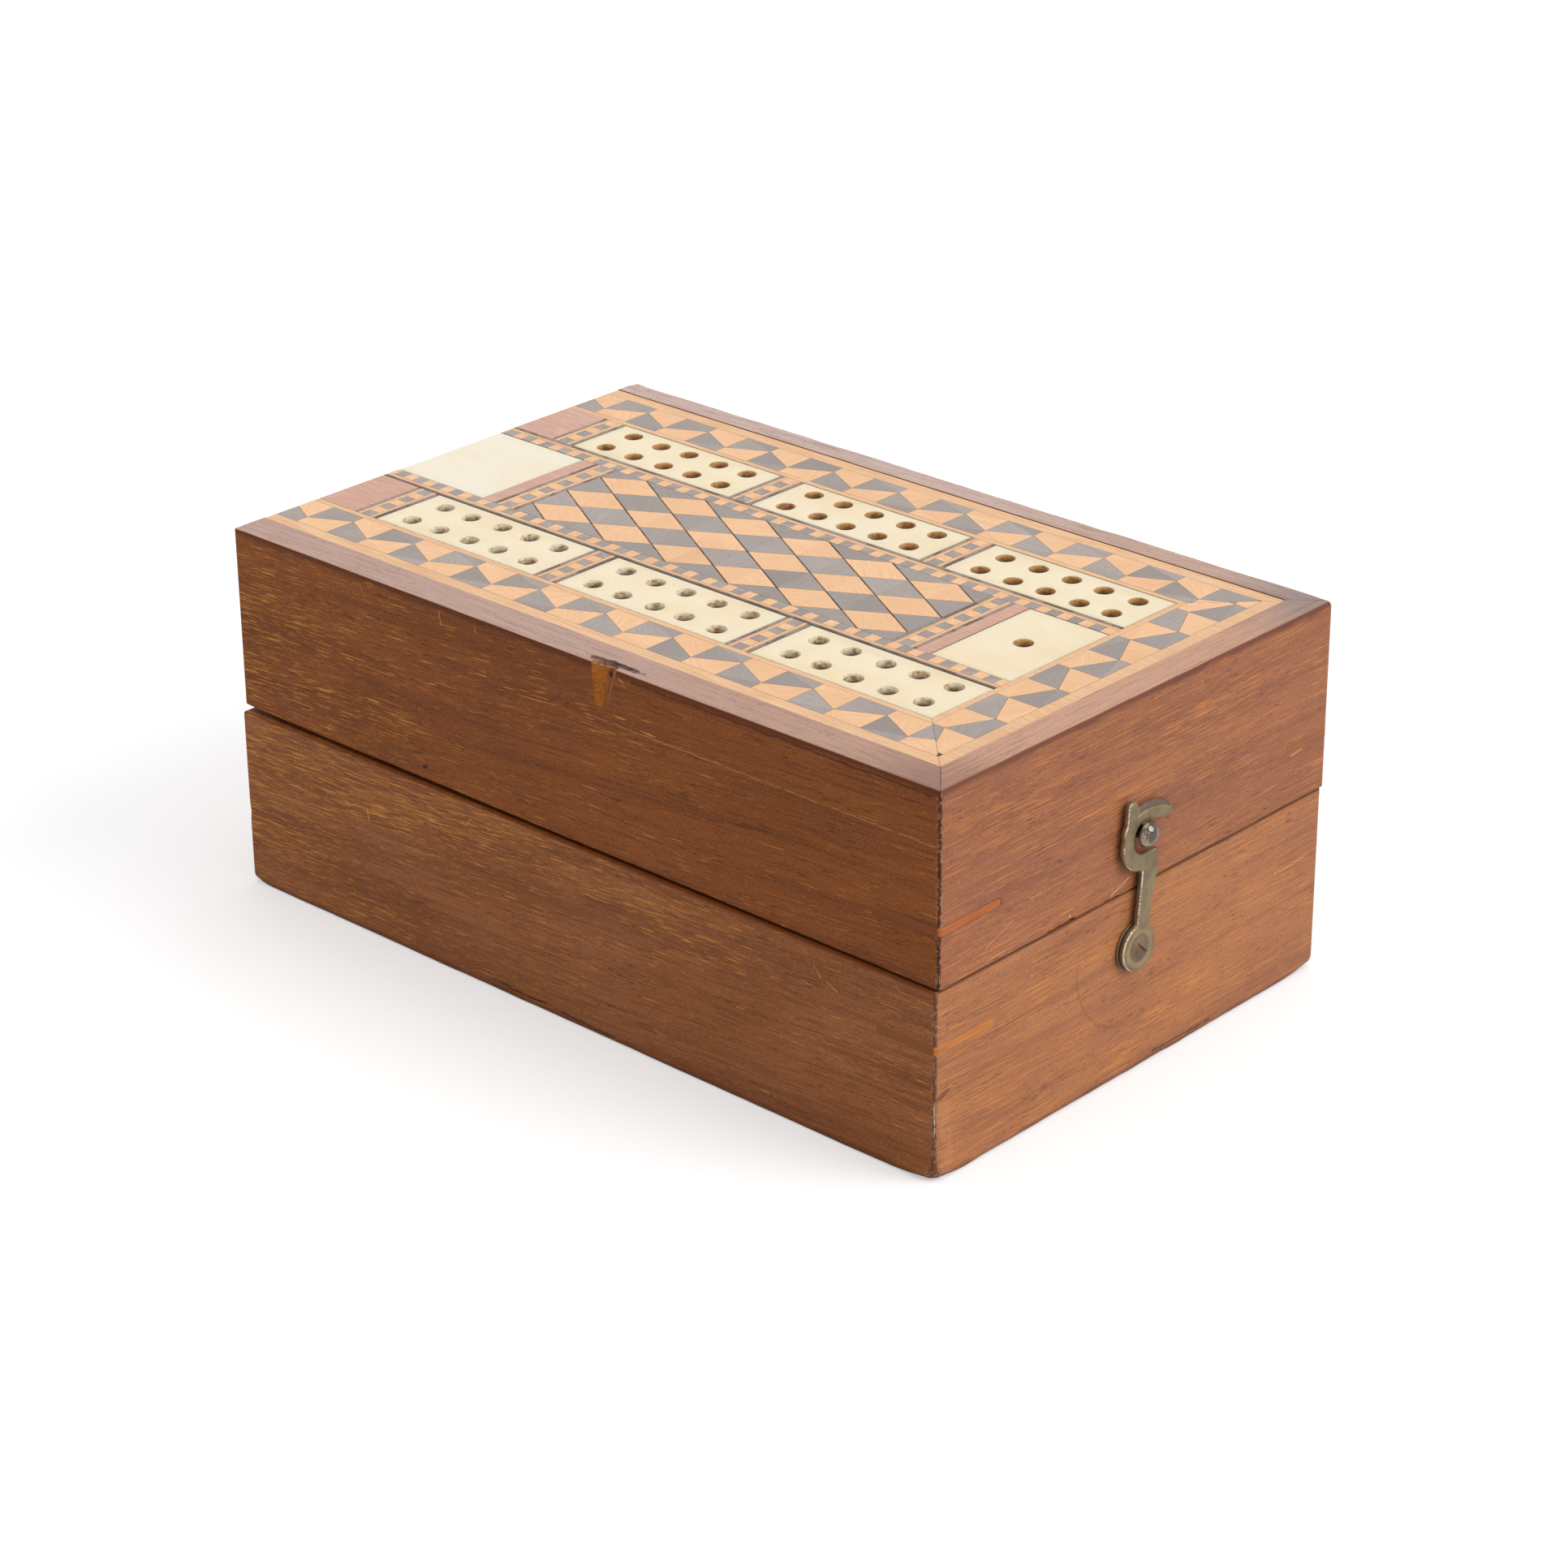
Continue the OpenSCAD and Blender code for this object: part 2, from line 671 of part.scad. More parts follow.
// Space for one leaf, its knuckles and its screws in the rim above the pin
module leaf_mortise() {
    translate([-1, -hinge_w / 2 - 0.1, -1])
        cube([leaf_x1 + 1.1, hinge_w + 0.2, 1 + seam_gap / 2 + leaf_t]);
    rod(knuckle_r + knuckle_gap, -hinge_w / 2 - 0.4, hinge_w / 2 + 0.4);
    for (y = screw_rows)
        translate([screw_x, y, seam_gap / 2])
            cylinder(h = hinge_screw_l + 0.4, r = hinge_screw_r + 0.06);
}

module base_front_wall() {
    color(walnut)
        as_base()
            front_wall();
}

module base_back_wall() {
    color(walnut)
        as_base()
            back_wall();
}

module base_latch_wall() {
    color(walnut)
        difference() {
            as_base()
                latch_wall();
            at_pivot()
                anchor_hole(pivot_r);
        }
}

module base_hinge_wall() {
    color(walnut)
        difference() {
            as_base()
                hinge_wall();
            at_hinges()
                mirror([0, 0, 1])
                    leaf_mortise();
        }
}

module base_mitre_keys() {
    color(oak)
        as_base()
            mitre_keys();
}

module base_ground() {
    color(oak)
        as_base()
            ground(11);
}

module base_peg_plates() {
    color(bone)
        as_base()
            peg_plates(11);
}

module base_game_plate() {
    color(bone)
        as_base()
            one_hole_plate();
}

module base_blank_plates() {
    color(bone)
        as_base()
            blank_plate();
}

module base_dark_kites() {
    color(dark_wood)
        as_base()
            dark_kites();
}

module base_light_kites() {
    color(light_wood)
        as_base()
            light_kites();
}

module base_light_strings() {
    color(light_wood)
        as_base()
            light_strings();
}

module base_light_lines() {
    color(light_wood)
        as_base()
            wood_tiles(lines(dark_w, light_w));
}

module base_dark_lines() {
    color(dark_wood)
        as_base()
            wood_tiles(lines(0, dark_w));
}

module base_dark_squares() {
    color(dark_wood)
        as_base()
            wood_tiles(squares(0));
}

module base_light_squares() {
    color(light_wood)
        as_base()
            wood_tiles(squares(1));
}

module base_dark_rhombs() {
    color(dark_wood)
        as_base()
            tiles(dark_rhombs, glue_line, crack_w);
}

module base_light_rhombs() {
    color(light_wood)
        as_base()
            tiles(light_rhombs, glue_line, crack_w);
}

module base_red_blocks() {
    color(red_wood)
        as_base()
            wood_tiles(red_blocks);
}

module lid_front_wall() {
    color(walnut)
        as_lid()
            difference() {
                front_wall();
                gouge();
            }
}

module lid_back_wall() {
    color(walnut)
        as_lid()
            back_wall();
}

module lid_latch_wall() {
    color(walnut)
        difference() {
            as_lid()
                latch_wall();
            at_pivot()
                translate(stud_at)
                    anchor_hole(stud_r);
        }
}

module lid_hinge_wall() {
    color(walnut)
        difference() {
            as_lid()
                hinge_wall();
            at_hinges()
                leaf_mortise();
        }
}

module lid_mitre_keys() {
    color(oak)
        as_lid()
            mitre_keys();
}

module lid_ground() {
    color(oak)
        as_lid()
            ground(23);
}

module lid_peg_plates() {
    color(bone)
        as_lid()
            peg_plates(23);
}

module lid_game_plate() {
    color(bone)
        as_lid()
            one_hole_plate();
}

module lid_blank_plates() {
    color(bone)
        as_lid()
            blank_plate();
}

module lid_dark_kites() {
    color(dark_wood)
        as_lid()
            dark_kites();
}

module lid_light_kites() {
    color(light_wood)
        as_lid()
            light_kites();
}

module lid_light_strings() {
    color(light_wood)
        as_lid()
            light_strings();
}

module lid_light_lines() {
    color(light_wood)
        as_lid()
            wood_tiles(lines(dark_w, light_w));
}

module lid_dark_lines() {
    color(dark_wood)
        as_lid()
            wood_tiles(lines(0, dark_w));
}

module lid_dark_squares() {
    color(dark_wood)
        as_lid()
            wood_tiles(squares(0));
}

module lid_light_squares() {
    color(light_wood)
        as_lid()
            wood_tiles(squares(1));
}

module lid_dark_rhombs() {
    color(dark_wood)
        as_lid()
            tiles(dark_rhombs, glue_line, crack_w);
}

module lid_light_rhombs() {
    color(light_wood)
        as_lid()
            tiles(light_rhombs, glue_line, crack_w);
}

module lid_red_blocks() {
    color(red_wood)
        as_lid()
            wood_tiles(red_blocks);
}

module hinge_leaves_base() {
    color(brass)
        at_hinges()
            mirror([0, 0, 1])
                leaf(base_spans, 0.02);
}

module hinge_leaves_lid() {
    color(brass)
        at_hinges()
            leaf(lid_spans, pin_fit);
}

module hinge_pins() {
    color(brass)
        at_hinges()
            rod(pin_r, -hinge_w / 2 - 0.3, hinge_w / 2 + 0.3);
}

module hinge_screws_base() {
    color(brass)
        at_hinges()
            mirror([0, 0, 1])
                leaf_screws();
}

module hinge_screws_lid() {
    color(brass)
        at_hinges()
            leaf_screws();
}

module hook_washer() {
    color(brass)
        at_pivot()
            difference() {
                cylinder(h = washer_t, r = eye_r + 0.2);
                translate([0, 0, -1])
                    cylinder(h = washer_t + 2, r = pivot_r + 0.15);
            }
}

module hook() {
    color(brass)
        at_pivot()
            translate([0, 0, hook_back])
                linear_extrude(hook_t)
                    hook_outline();
}

module hook_screw() {
    color(brass)
        at_pivot()
            difference() {
                union() {
                    translate([0, 0, -anchor_l])
                        cylinder(h = anchor_l + hook_face + 0.1, r = pivot_r);
                    translate([0, 0, hook_face + 0.05])
                        round_head(pivot_head_r, pivot_head_h);
                }
                screw_slot(pivot_head_r, hook_face + 0.05 + pivot_head_h);
            }
}

module catch_stud() {
    color(brass)
        at_pivot()
            translate(stud_at) {
                translate([0, 0, -anchor_l])
                    cylinder(h = anchor_l + stud_neck + 0.1, r = stud_r);
                translate([0, 0, stud_neck])
                    round_head(stud_head_r, stud_head_h);
            }
}

base_front_wall();
base_back_wall();
base_latch_wall();
base_hinge_wall();
base_mitre_keys();
base_ground();
base_peg_plates();
base_game_plate();
base_blank_plates();
base_dark_kites();
base_light_kites();
base_light_strings();
base_light_lines();
base_dark_lines();
base_dark_squares();
base_light_squares();
base_dark_rhombs();
base_light_rhombs();
base_red_blocks();
lid_front_wall();
lid_back_wall();
lid_latch_wall();
lid_hinge_wall();
lid_mitre_keys();
lid_ground();
lid_peg_plates();
lid_game_plate();
lid_blank_plates();
lid_dark_kites();
lid_light_kites();
lid_light_strings();
lid_light_lines();
lid_dark_lines();
lid_dark_squares();
lid_light_squares();
lid_dark_rhombs();
lid_light_rhombs();
lid_red_blocks();
hinge_leaves_base();
hinge_leaves_lid();
hinge_pins();
hinge_screws_base();
hinge_screws_lid();
hook_washer();
hook();
hook_screw();
catch_stud();
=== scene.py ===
"""A folding cribbage box: worn case walls, parquetry boards, bone peg plates and brass fittings.

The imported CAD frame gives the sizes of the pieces. The outer walls and the mitre keys are rebuilt
here with rounded, chipped and gouged edges. The inlay, the bone and the brass keep their CAD shape
and get a finish and soft arrises.
"""

import itertools
import logging
import math
from dataclasses import dataclass, field
from enum import Enum

import bpy
import numpy as np
from mathutils import Matrix, Vector

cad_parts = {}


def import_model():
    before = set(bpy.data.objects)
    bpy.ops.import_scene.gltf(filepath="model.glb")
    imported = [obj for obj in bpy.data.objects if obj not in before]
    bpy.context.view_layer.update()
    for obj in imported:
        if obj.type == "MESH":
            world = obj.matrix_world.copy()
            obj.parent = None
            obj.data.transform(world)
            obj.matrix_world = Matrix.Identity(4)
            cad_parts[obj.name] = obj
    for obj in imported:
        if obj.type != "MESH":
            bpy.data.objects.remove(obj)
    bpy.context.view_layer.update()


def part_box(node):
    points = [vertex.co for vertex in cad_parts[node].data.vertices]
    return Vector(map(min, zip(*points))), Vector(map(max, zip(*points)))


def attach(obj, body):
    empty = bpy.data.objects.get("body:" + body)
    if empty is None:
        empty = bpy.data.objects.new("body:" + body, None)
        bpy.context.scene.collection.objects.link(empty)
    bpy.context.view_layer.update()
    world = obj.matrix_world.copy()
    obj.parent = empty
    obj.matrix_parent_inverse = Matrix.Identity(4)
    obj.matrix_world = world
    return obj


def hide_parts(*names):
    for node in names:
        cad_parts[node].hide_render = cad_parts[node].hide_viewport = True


log = logging.getLogger("cribbage_box")

MM = 0.001
Colour = tuple[float, float, float, float]
Point = tuple[float, float, float]
Span = tuple[float, float, float]
Socket = bpy.types.NodeSocket
Value = Socket | float | int | tuple


class Half(Enum):
    """The two hinged cases of the box."""

    BASE = "base"
    LID = "lid"


class Grain(Enum):
    """The way a wall's fibres run."""

    LENGTHWISE = "x"
    CROSSWISE = "y"


class Side(Enum):
    """The three walls of a case that are rebuilt with worn edges."""

    FRONT = "front_wall"
    BACK = "back_wall"
    LATCH = "latch_wall"


def paint(red: int, green: int, blue: int) -> Colour:
    """Turns a colour as seen on a screen into the shader's linear colour.

    Args:
        red: Red, 0 to 255.
        green: Green, 0 to 255.
        blue: Blue, 0 to 255.

    Returns:
        The linear colour with full cover.
    """
    tones = [c / 255 for c in (red, green, blue)]
    linear = [t / 12.92 if t <= 0.04045 else ((t + 0.055) / 1.055) ** 2.4 for t in tones]
    return (linear[0], linear[1], linear[2], 1.0)


def blend(share: float, under: Colour, over: Colour) -> Colour:
    """Lays a share of one colour over another.

    Args:
        share: How much of the upper colour shows, 0 to 1.
        under: The lower colour.
        over: The upper colour.

    Returns:
        The blended colour.
    """
    red, green, blue = (u + share * (o - u) for u, o in zip(under[:3], over[:3]))
    return (red, green, blue, 1.0)


GOLD = paint(222, 164, 96)
SOOT = paint(40, 24, 16)
RUST = paint(70, 34, 20)
PALE = paint(232, 200, 168)
BARE = paint(246, 238, 228)
TAN = paint(180, 132, 98)
ASH = paint(140, 126, 122)
GRIME = paint(52, 34, 24)
BRIGHT = paint(168, 148, 96)
BASE_KEY, LID_KEY = paint(206, 130, 70), paint(192, 110, 64)
WHITE = (1.0, 1.0, 1.0, 1.0)

# The closed box, in millimetres from the middle of its underside: the hook end, the side, the joint
# between the cases, the top and the height of one case; then the hook's pivot.
HOOK_END, SIDE_FACE, SEAM, BOX_TOP, CASE_TALL = 92.0, 57.0, 38.7, 77.4, 38.5
PIVOT = (HOOK_END, -1.4, 27.0)

# The scuff on the base's near corner: its heights, and what x less y is there.
SCUFF_TALL = (8.6, 16.8)
NEAR_CORNER = (135.0, 145.0)

# Depth of the wood's relief, how far a seed moves a pattern along each axis, and the two looks of
# torn wood.
FIBRE_RELIEF = 0.05
NOISE_SHIFT = (17.3, 7.9, 3.1)
TORN_LOOKS = ("fresh", "dark")

# The lattice's size and its mixing numbers; spacings of the mesh near an edge, in millimetres.
CELLS = 8192
PRIMES = (73856093, 19349663, 83492791)
EDGE_STEPS = np.array([0.0, 0.12, 0.26, 0.42, 0.62, 0.88, 1.2, 1.65, 2.3])
CLOSEST = 0.06

# What counts as touching, in metres, and as flat or as an edge, in degrees.
TOUCHING, FLAT, EDGE = 1e-6, 1.0, 35.0


class Recipe:
    """The shader nodes of one finish, with places counted in millimetres."""

    def __init__(self, name: str) -> None:
        """Starts an empty finish.

        Args:
            name: The material's name.
        """
        self.material = bpy.data.materials.new(name)
        self.material.use_nodes = True
        self.tree = self.material.node_tree
        self.skin = self.tree.nodes["Principled BSDF"]
        spot = self.node("ShaderNodeTexCoord")
        self.place = self.vector("SCALE", spot.outputs["Object"], scale=1 / MM)
        self.facing = spot.outputs["Normal"]

    def node(self, kind: str, **settings: object) -> bpy.types.Node:
        """Adds a node.

        Args:
            kind: The node's kind.
            settings: Its settings, by name.

        Returns:
            The node.
        """
        made = self.tree.nodes.new(kind)
        for name, value in settings.items():
            setattr(made, name, value)
        return made

    def feed(self, socket: Socket, value: Value) -> None:
        """Links another node's output to a socket, or sets the socket's own value.

        Args:
            socket: The socket.
            value: The output, or the value itself.
        """
        if isinstance(value, bpy.types.NodeSocket):
            self.tree.links.new(value, socket)
        else:
            socket.default_value = value

    def feed_all(self, made: bpy.types.Node, values: tuple[Value, ...]) -> Socket:
        """Feeds a node's inputs in order.

        Args:
            made: The node.
            values: What goes into its first inputs.

        Returns:
            The node's first output.
        """
        for socket, value in zip(made.inputs, values):
            self.feed(socket, value)
        return made.outputs[0]

    def math(self, operation: str, *values: Value) -> Socket:
        """Works out one sum on numbers."""
        return self.feed_all(self.node("ShaderNodeMath", operation=operation), values)

    def times(self, a: Value, b: Value) -> Socket:
        """Multiplies two numbers."""
        return self.math("MULTIPLY", a, b)

    def scaled(self, a: Value, factor: Value, more: Value) -> Socket:
        """Multiplies a number by a factor and adds more."""
        return self.math("MULTIPLY_ADD", a, factor, more)

    def gap(self, a: Value, b: Value) -> Socket:
        """How far two numbers lie apart."""
        return self.math("ABSOLUTE", self.math("SUBTRACT", a, b))

    def vector(self, operation: str, *values: Value, scale: float = 1.0) -> Socket:
        """Works out one sum on places or directions.

        Args:
            operation: The sum.
            values: What it works on.
            scale: The factor, where the sum is a scaling.

        Returns:
            A number for a length or a dot product, and else a place or direction.
        """
        made = self.node("ShaderNodeVectorMath", operation=operation)
        self.feed_all(made, values)
        if operation == "SCALE":
            made.inputs["Scale"].default_value = scale
        return made.outputs["Value" if operation in ("LENGTH", "DOT_PRODUCT") else "Vector"]

    def parts(self, where: Socket) -> tuple[Socket, Socket, Socket]:
        """Splits a place into its three coordinates.

        Args:
            where: The place.

        Returns:
            Its x, y and z.
        """
        made = self.node("ShaderNodeSeparateXYZ")
        self.feed(made.inputs[0], where)
        return made.outputs[0], made.outputs[1], made.outputs[2]

    def join(self, x: Value, y: Value, z: Value) -> Socket:
        """Joins three coordinates into a place."""
        return self.feed_all(self.node("ShaderNodeCombineXYZ"), (x, y, z))

    def noise(self, where: Socket, sizes: Point, seed: float, detail: float = 2.0) -> Socket:
        """Soft random blots of the given sizes.

        Args:
            where: The place, in millimetres.
            sizes: The blots' size along each axis, in millimetres.
            seed: Shifts the pattern.
            detail: How many finer layers are added.

        Returns:
            A number around a half.
        """
        shift = tuple(seed * way for way in NOISE_SHIFT)
        spread = self.vector("MULTIPLY_ADD", where, tuple(1 / s for s in sizes), shift)
        made = self.node("ShaderNodeTexNoise")
        self.feed(made.inputs["Vector"], spread)
        made.inputs["Scale"].default_value = 1.0
        made.inputs["Detail"].default_value = detail
        return made.outputs[0]

    def rise(self, value: Value, low: Value, high: Value, top: float = 1.0) -> Socket:
        """Climbs smoothly from 0 to top as a value goes from low to high."""
        made = self.node("ShaderNodeMapRange", interpolation_type="SMOOTHSTEP")
        return self.feed_all(made, (value, low, high, 0.0, top))

    def mix(self, amount: Value, under: Value, over: Value) -> Socket:
        """Lays one colour over another.

        Args:
            amount: How much of the upper colour shows.
            under: The lower colour.
            over: The upper colour.

        Returns:
            The mixed colour.
        """
        made = self.node("ShaderNodeMix", data_type="RGBA")
        self.feed(made.inputs[0], amount)
        self.feed(made.inputs[6], under)
        self.feed(made.inputs[7], over)
        return made.outputs[2]

    def lay(
        self, under: Value, over: Value, value: Value, low: Value, high: Value, cover: float = 1.0
    ) -> Socket:
        """Lays one colour over another as a value goes from low to high, up to a cover."""
        return self.mix(self.rise(value, low, high, cover), under, over)

    def upright(self) -> Socket:
        """How level the surface lies: one where it faces up or down."""
        return self.math("ABSOLUTE", self.parts(self.facing)[2])

    def arris(self, low: float, high: float) -> Socket:
        """Finds rounded edges, where the surface faces between two axes.

        Args:
            low: How far it turns from an axis before it counts.
            high: How far it turns where it counts in full.

        Returns:
            One on a rounded edge, and else nought.
        """
        x, y, z = self.parts(self.vector("ABSOLUTE", self.facing))
        most = self.math("MAXIMUM", self.math("MAXIMUM", x, y), z)
        return self.rise(self.math("SUBTRACT", 1.0, most), low, high)

    def bump(self, height: Socket, depth: float) -> None:
        """Adds fine relief on top of the relief already there.

        Args:
            height: Relief from 0 to 1.
            depth: Depth of the relief, in millimetres.
        """
        made = self.node("ShaderNodeBump")
        made.inputs["Distance"].default_value = depth * MM
        self.feed(made.inputs["Height"], height)
        if self.skin.inputs["Normal"].is_linked:
            self.feed(made.inputs["Normal"], self.skin.inputs["Normal"].links[0].from_socket)
        self.feed(self.skin.inputs["Normal"], made.outputs["Normal"])

    def finish(self, colour: Socket, roughness: Value, sheen: float = 0.5) -> bpy.types.Material:
        """Connects colour and roughness and hands the material over.

        Args:
            colour: The surface's colour.
            roughness: Its roughness.
            sheen: Its specular level.

        Returns:
            The finished material.
        """
        self.feed(self.skin.inputs["Base Color"], colour)
        self.feed(self.skin.inputs["Roughness"], roughness)
        self.skin.inputs["Specular IOR Level"].default_value = sheen
        return self.material


@dataclass(frozen=True)
class Mark:
    """A crack, scratch or stain drawn along a line on a wall's face, in millimetres."""

    start: tuple[float, float]
    end: tuple[float, float]
    width: float
    colour: Colour
    cover: float = 0.9
    wobble: float = 0.4
    hollow: bool = False

    def where(self, r: Recipe, flat: Socket, seed: float) -> Socket:
        """Finds the mark on its wall.

        Args:
            r: The finish to add to.
            flat: Places on the wall's face.
            seed: Shifts the mark's wobble and its gaps.

        Returns:
            How much of the mark shows.
        """
        sway = r.noise(flat, (3.5, 3.5, 3.5), seed, 3)
        step = r.times(r.math("SUBTRACT", sway, 0.5), 2 * self.wobble)
        start = Vector((*self.start, 0.0))
        line = Vector((*self.end, 0.0)) - start
        rel = r.vector("SUBTRACT", r.vector("ADD", flat, r.join(step, step, 0.0)), tuple(start))
        share = r.vector("DOT_PRODUCT", rel, tuple(line / line.length_squared))
        share = r.math("MAXIMUM", r.math("MINIMUM", share, 1.0), 0.0)
        along = r.join(share, share, share)
        off = r.vector("LENGTH", r.vector("MULTIPLY_ADD", along, tuple(-line), rel))
        patch = r.rise(r.noise(flat, (2.2, 0.6, 1.0), seed + 20), 0.3, 0.5, self.cover)
        if self.hollow:
            return r.times(patch, r.rise(r.gap(off, self.width), 0.18, 0.06))
        return r.times(patch, r.rise(off, self.width, 0.35 * self.width))


@dataclass(frozen=True)
class Plank:
    """A wall's finish while it is being made, and its coordinates in millimetres."""

    r: Recipe
    run: Socket
    deep: Socket
    z: Socket
    fibre_at: Socket
    fibre: Socket
    grit: Socket


@dataclass(frozen=True)
class CaseWood:
    """The wood of one case wall: its colours, its golden pore streaks and its marks."""

    name: str
    grain: Grain
    seed: float
    edge_at: float
    heart: Colour
    warm: Colour
    dusk: Colour
    streak: Colour
    streaks: float
    streak_left: float = 0.0
    streak_high: float = 0.0
    streak_size: Point = (6.0, 0.28, 0.28)
    streak_cover: float = 0.8
    fibre_cover: float = 0.55
    band_cover: float = 0.5
    slope: float = 0.0
    # Colours of the rim's top: the wood greyed by a painted reflection of the bright room.
    top: Colour = paint(190, 160, 147)
    top_sheen_dusk: Colour = paint(160, 126, 114)
    corner: Colour = paint(78, 46, 32)
    fresh: Colour = paint(188, 112, 40)
    seam_shade_and_dirt: float = 0.85
    edge_darkening: float = 0.8
    # Colour along the seam: painted shade of the gap between the cases, with dirt.
    lip: Colour = paint(46, 26, 17)
    marks: tuple[Mark, ...] = ()
    ring: Span | None = None
    scuff: tuple[float, float] | None = None
    sheen: float = 0.2

    def build(self) -> bpy.types.Material:
        """Writes the wood's nodes.

        Returns:
            The wall's material.
        """
        r = Recipe(self.name)
        x, y, z = r.parts(r.place)
        run, deep = (x, y) if self.grain is Grain.LENGTHWISE else (y, x)
        swirl = r.noise(r.place, (60, 60, 13), self.seed, 1)
        lift = r.scaled(run, -self.slope, r.scaled(swirl, 2.4, z))
        fibre_at = r.join(run, lift, deep)
        fibre = r.noise(fibre_at, (15, 0.4, 0.4), self.seed + 1, 4)
        grit = r.noise(r.place, (0.5, 0.5, 0.4), self.seed + 17, 2)
        plank = Plank(r, run, deep, z, fibre_at, fibre, grit)
        colour = self._body(plank)
        for coat in (self._pores, self._marks, self._edges, self._top_with_sheen, self._torn, self._seam):
            colour = coat(plank, colour)
        r.bump(fibre, FIBRE_RELIEF)
        r.bump(grit, FIBRE_RELIEF)
        return r.finish(colour, r.scaled(fibre, 0.22, 0.36), self.sheen)

    def _body(self, plank: Plank) -> Socket:
        """Mixes the wood's colour: soft bands, fine dark fibres, dark pore speckles and painted
        pale glints in the polish.

        Args:
            plank: The wall's coordinates.

        Returns:
            The colour.
        """
        r = plank.r
        blot = r.noise(r.place, (34, 34, 15), self.seed + 3, 2)
        band = r.noise(plank.fibre_at, (75, 3.4, 3.4), self.seed + 2, 3)
        hair = r.noise(plank.fibre_at, (5, 0.2, 0.2), self.seed + 12, 2)
        dark, soft = blend(0.4, self.dusk, SOOT), blend(0.3, self.dusk, SOOT)
        colour = r.lay(self.heart, self.warm, blot, 0.34, 0.66)
        colour = r.lay(colour, self.dusk, band, 0.46, 0.68, self.band_cover)
        colour = r.lay(colour, dark, plank.fibre, 0.52, 0.3, self.fibre_cover)
        colour = r.lay(colour, soft, hair, 0.5, 0.34, 0.7 * self.fibre_cover)
        colour = r.lay(colour, blend(0.6, self.dusk, SOOT), plank.grit, 0.46, 0.3, 0.24)
        # Painted highlight: fine pale glints from the pores.
        return r.lay(colour, PALE, plank.grit, 0.54, 0.72, 0.09)

    def _pores(self, plank: Plank, colour: Socket) -> Socket:
        """Lays short golden pore streaks, thicker in some places than in others, and dark pores.

        Args:
            plank: The wall's coordinates.
            colour: The colour so far.

        Returns:
            The new colour.
        """
        r, at = plank.r, plank.fibre_at
        pores = r.noise(at, self.streak_size, self.seed + 4, 1)
        fine = r.noise(at, tuple(s * 0.62 for s in self.streak_size), self.seed + 5, 1)
        flock = r.noise(at, (48, 9, 9), self.seed + 6, 3)
        lean = r.scaled(plank.run, -self.streak_left / HOOK_END, self.streaks)
        lean = r.scaled(r.math("SUBTRACT", plank.z, SEAM), self.streak_high / CASE_TALL, lean)
        reach = r.scaled(r.math("SUBTRACT", flock, 0.5), 0.8, lean)
        for layer, cover in ((pores, self.streak_cover), (fine, 0.75 * self.streak_cover)):
            colour = r.lay(colour, self.streak, r.scaled(reach, 0.3, layer), 0.678, 0.712, cover)
        fleck = r.noise(at, (2.8, 0.34, 0.34), self.seed + 7, 1)
        bruised = r.noise(at, (18, 4, 4), self.seed + 8, 2)
        where = r.scaled(r.math("SUBTRACT", bruised, 0.5), 0.5, fleck)
        return r.lay(colour, blend(0.6, self.dusk, SOOT), where, 0.66, 0.76, 0.6)

    def _marks(self, plank: Plank, colour: Socket) -> Socket:
        """Draws the wall's cracks and scratches, and a ring rubbed by a swinging hook.

        Args:
            plank: The wall's coordinates.
            colour: The colour so far.

        Returns:
            The new colour.
        """
        r = plank.r
        flat = r.join(plank.run, plank.z, 0.0)
        for number, mark in enumerate(self.marks):
            colour = r.mix(mark.where(r, flat, self.seed + 20 + number), colour, mark.colour)
        if self.ring:
            centre, height, radius = self.ring
            off = r.vector("LENGTH", r.vector("SUBTRACT", flat, (centre, height, 0.0)))
            left = r.rise(plank.run, centre + 9, centre - 6)
            low = r.rise(plank.z, height + 6, height - 2)
            rubbed = r.times(r.times(left, low), r.rise(r.gap(off, radius), 0.55, 0.1, 0.5))
            colour = r.mix(rubbed, colour, self.dusk)
        return colour

    def _edges(self, plank: Plank, colour: Socket) -> Socket:
        """Darkens the wood just inside the outer edge and every arris, and scuffs the corners.

        Args:
            plank: The wall's coordinates.
            colour: The colour so far.

        Returns:
            The new colour.
        """
        r = plank.r
        # A darker band along the outer edge: along the lid's top and the base's foot.
        edge_blots = r.noise(r.place, (9, 9, 2), self.seed + 14, 3)
        away = r.scaled(edge_blots, -2.0, r.gap(plank.z, self.edge_at))
        colour = r.lay(colour, blend(0.45, self.dusk, RUST), away, 0.8, -0.6, self.edge_darkening)
        worn = r.times(r.arris(0.02, 0.16), 0.75)
        colour = r.mix(worn, colour, blend(0.5, self.dusk, RUST))
        x, y, _ = r.parts(r.vector("ABSOLUTE", r.facing))
        turn = r.math("MINIMUM", x, y)
        dots = r.noise(r.place, (0.7, 0.7, 0.9), self.seed + 15, 2)
        scuffed = r.times(r.rise(turn, 0.05, 0.2), r.rise(dots, 0.5, 0.6, 0.55))
        colour = r.mix(scuffed, colour, blend(0.3, self.dusk, PALE))
        dark = r.times(r.rise(turn, 0.3, 0.6), r.rise(dots, 0.6, 0.45, 0.8))
        colour = r.mix(dark, colour, self.corner)
        if self.scuff:
            low, high = self.scuff
            tall = r.times(r.rise(plank.z, low, low + 3.5), r.rise(plank.z, high, high - 1.5))
            across, deep, _ = r.parts(r.place)
            near = r.rise(r.math("SUBTRACT", across, deep), *NEAR_CORNER)
            thin = r.times(r.rise(turn, 0.58, 0.69), r.rise(dots, 0.4, 0.52, 0.95))
            colour = r.mix(r.times(r.times(near, tall), thin), colour, BARE)
        return colour

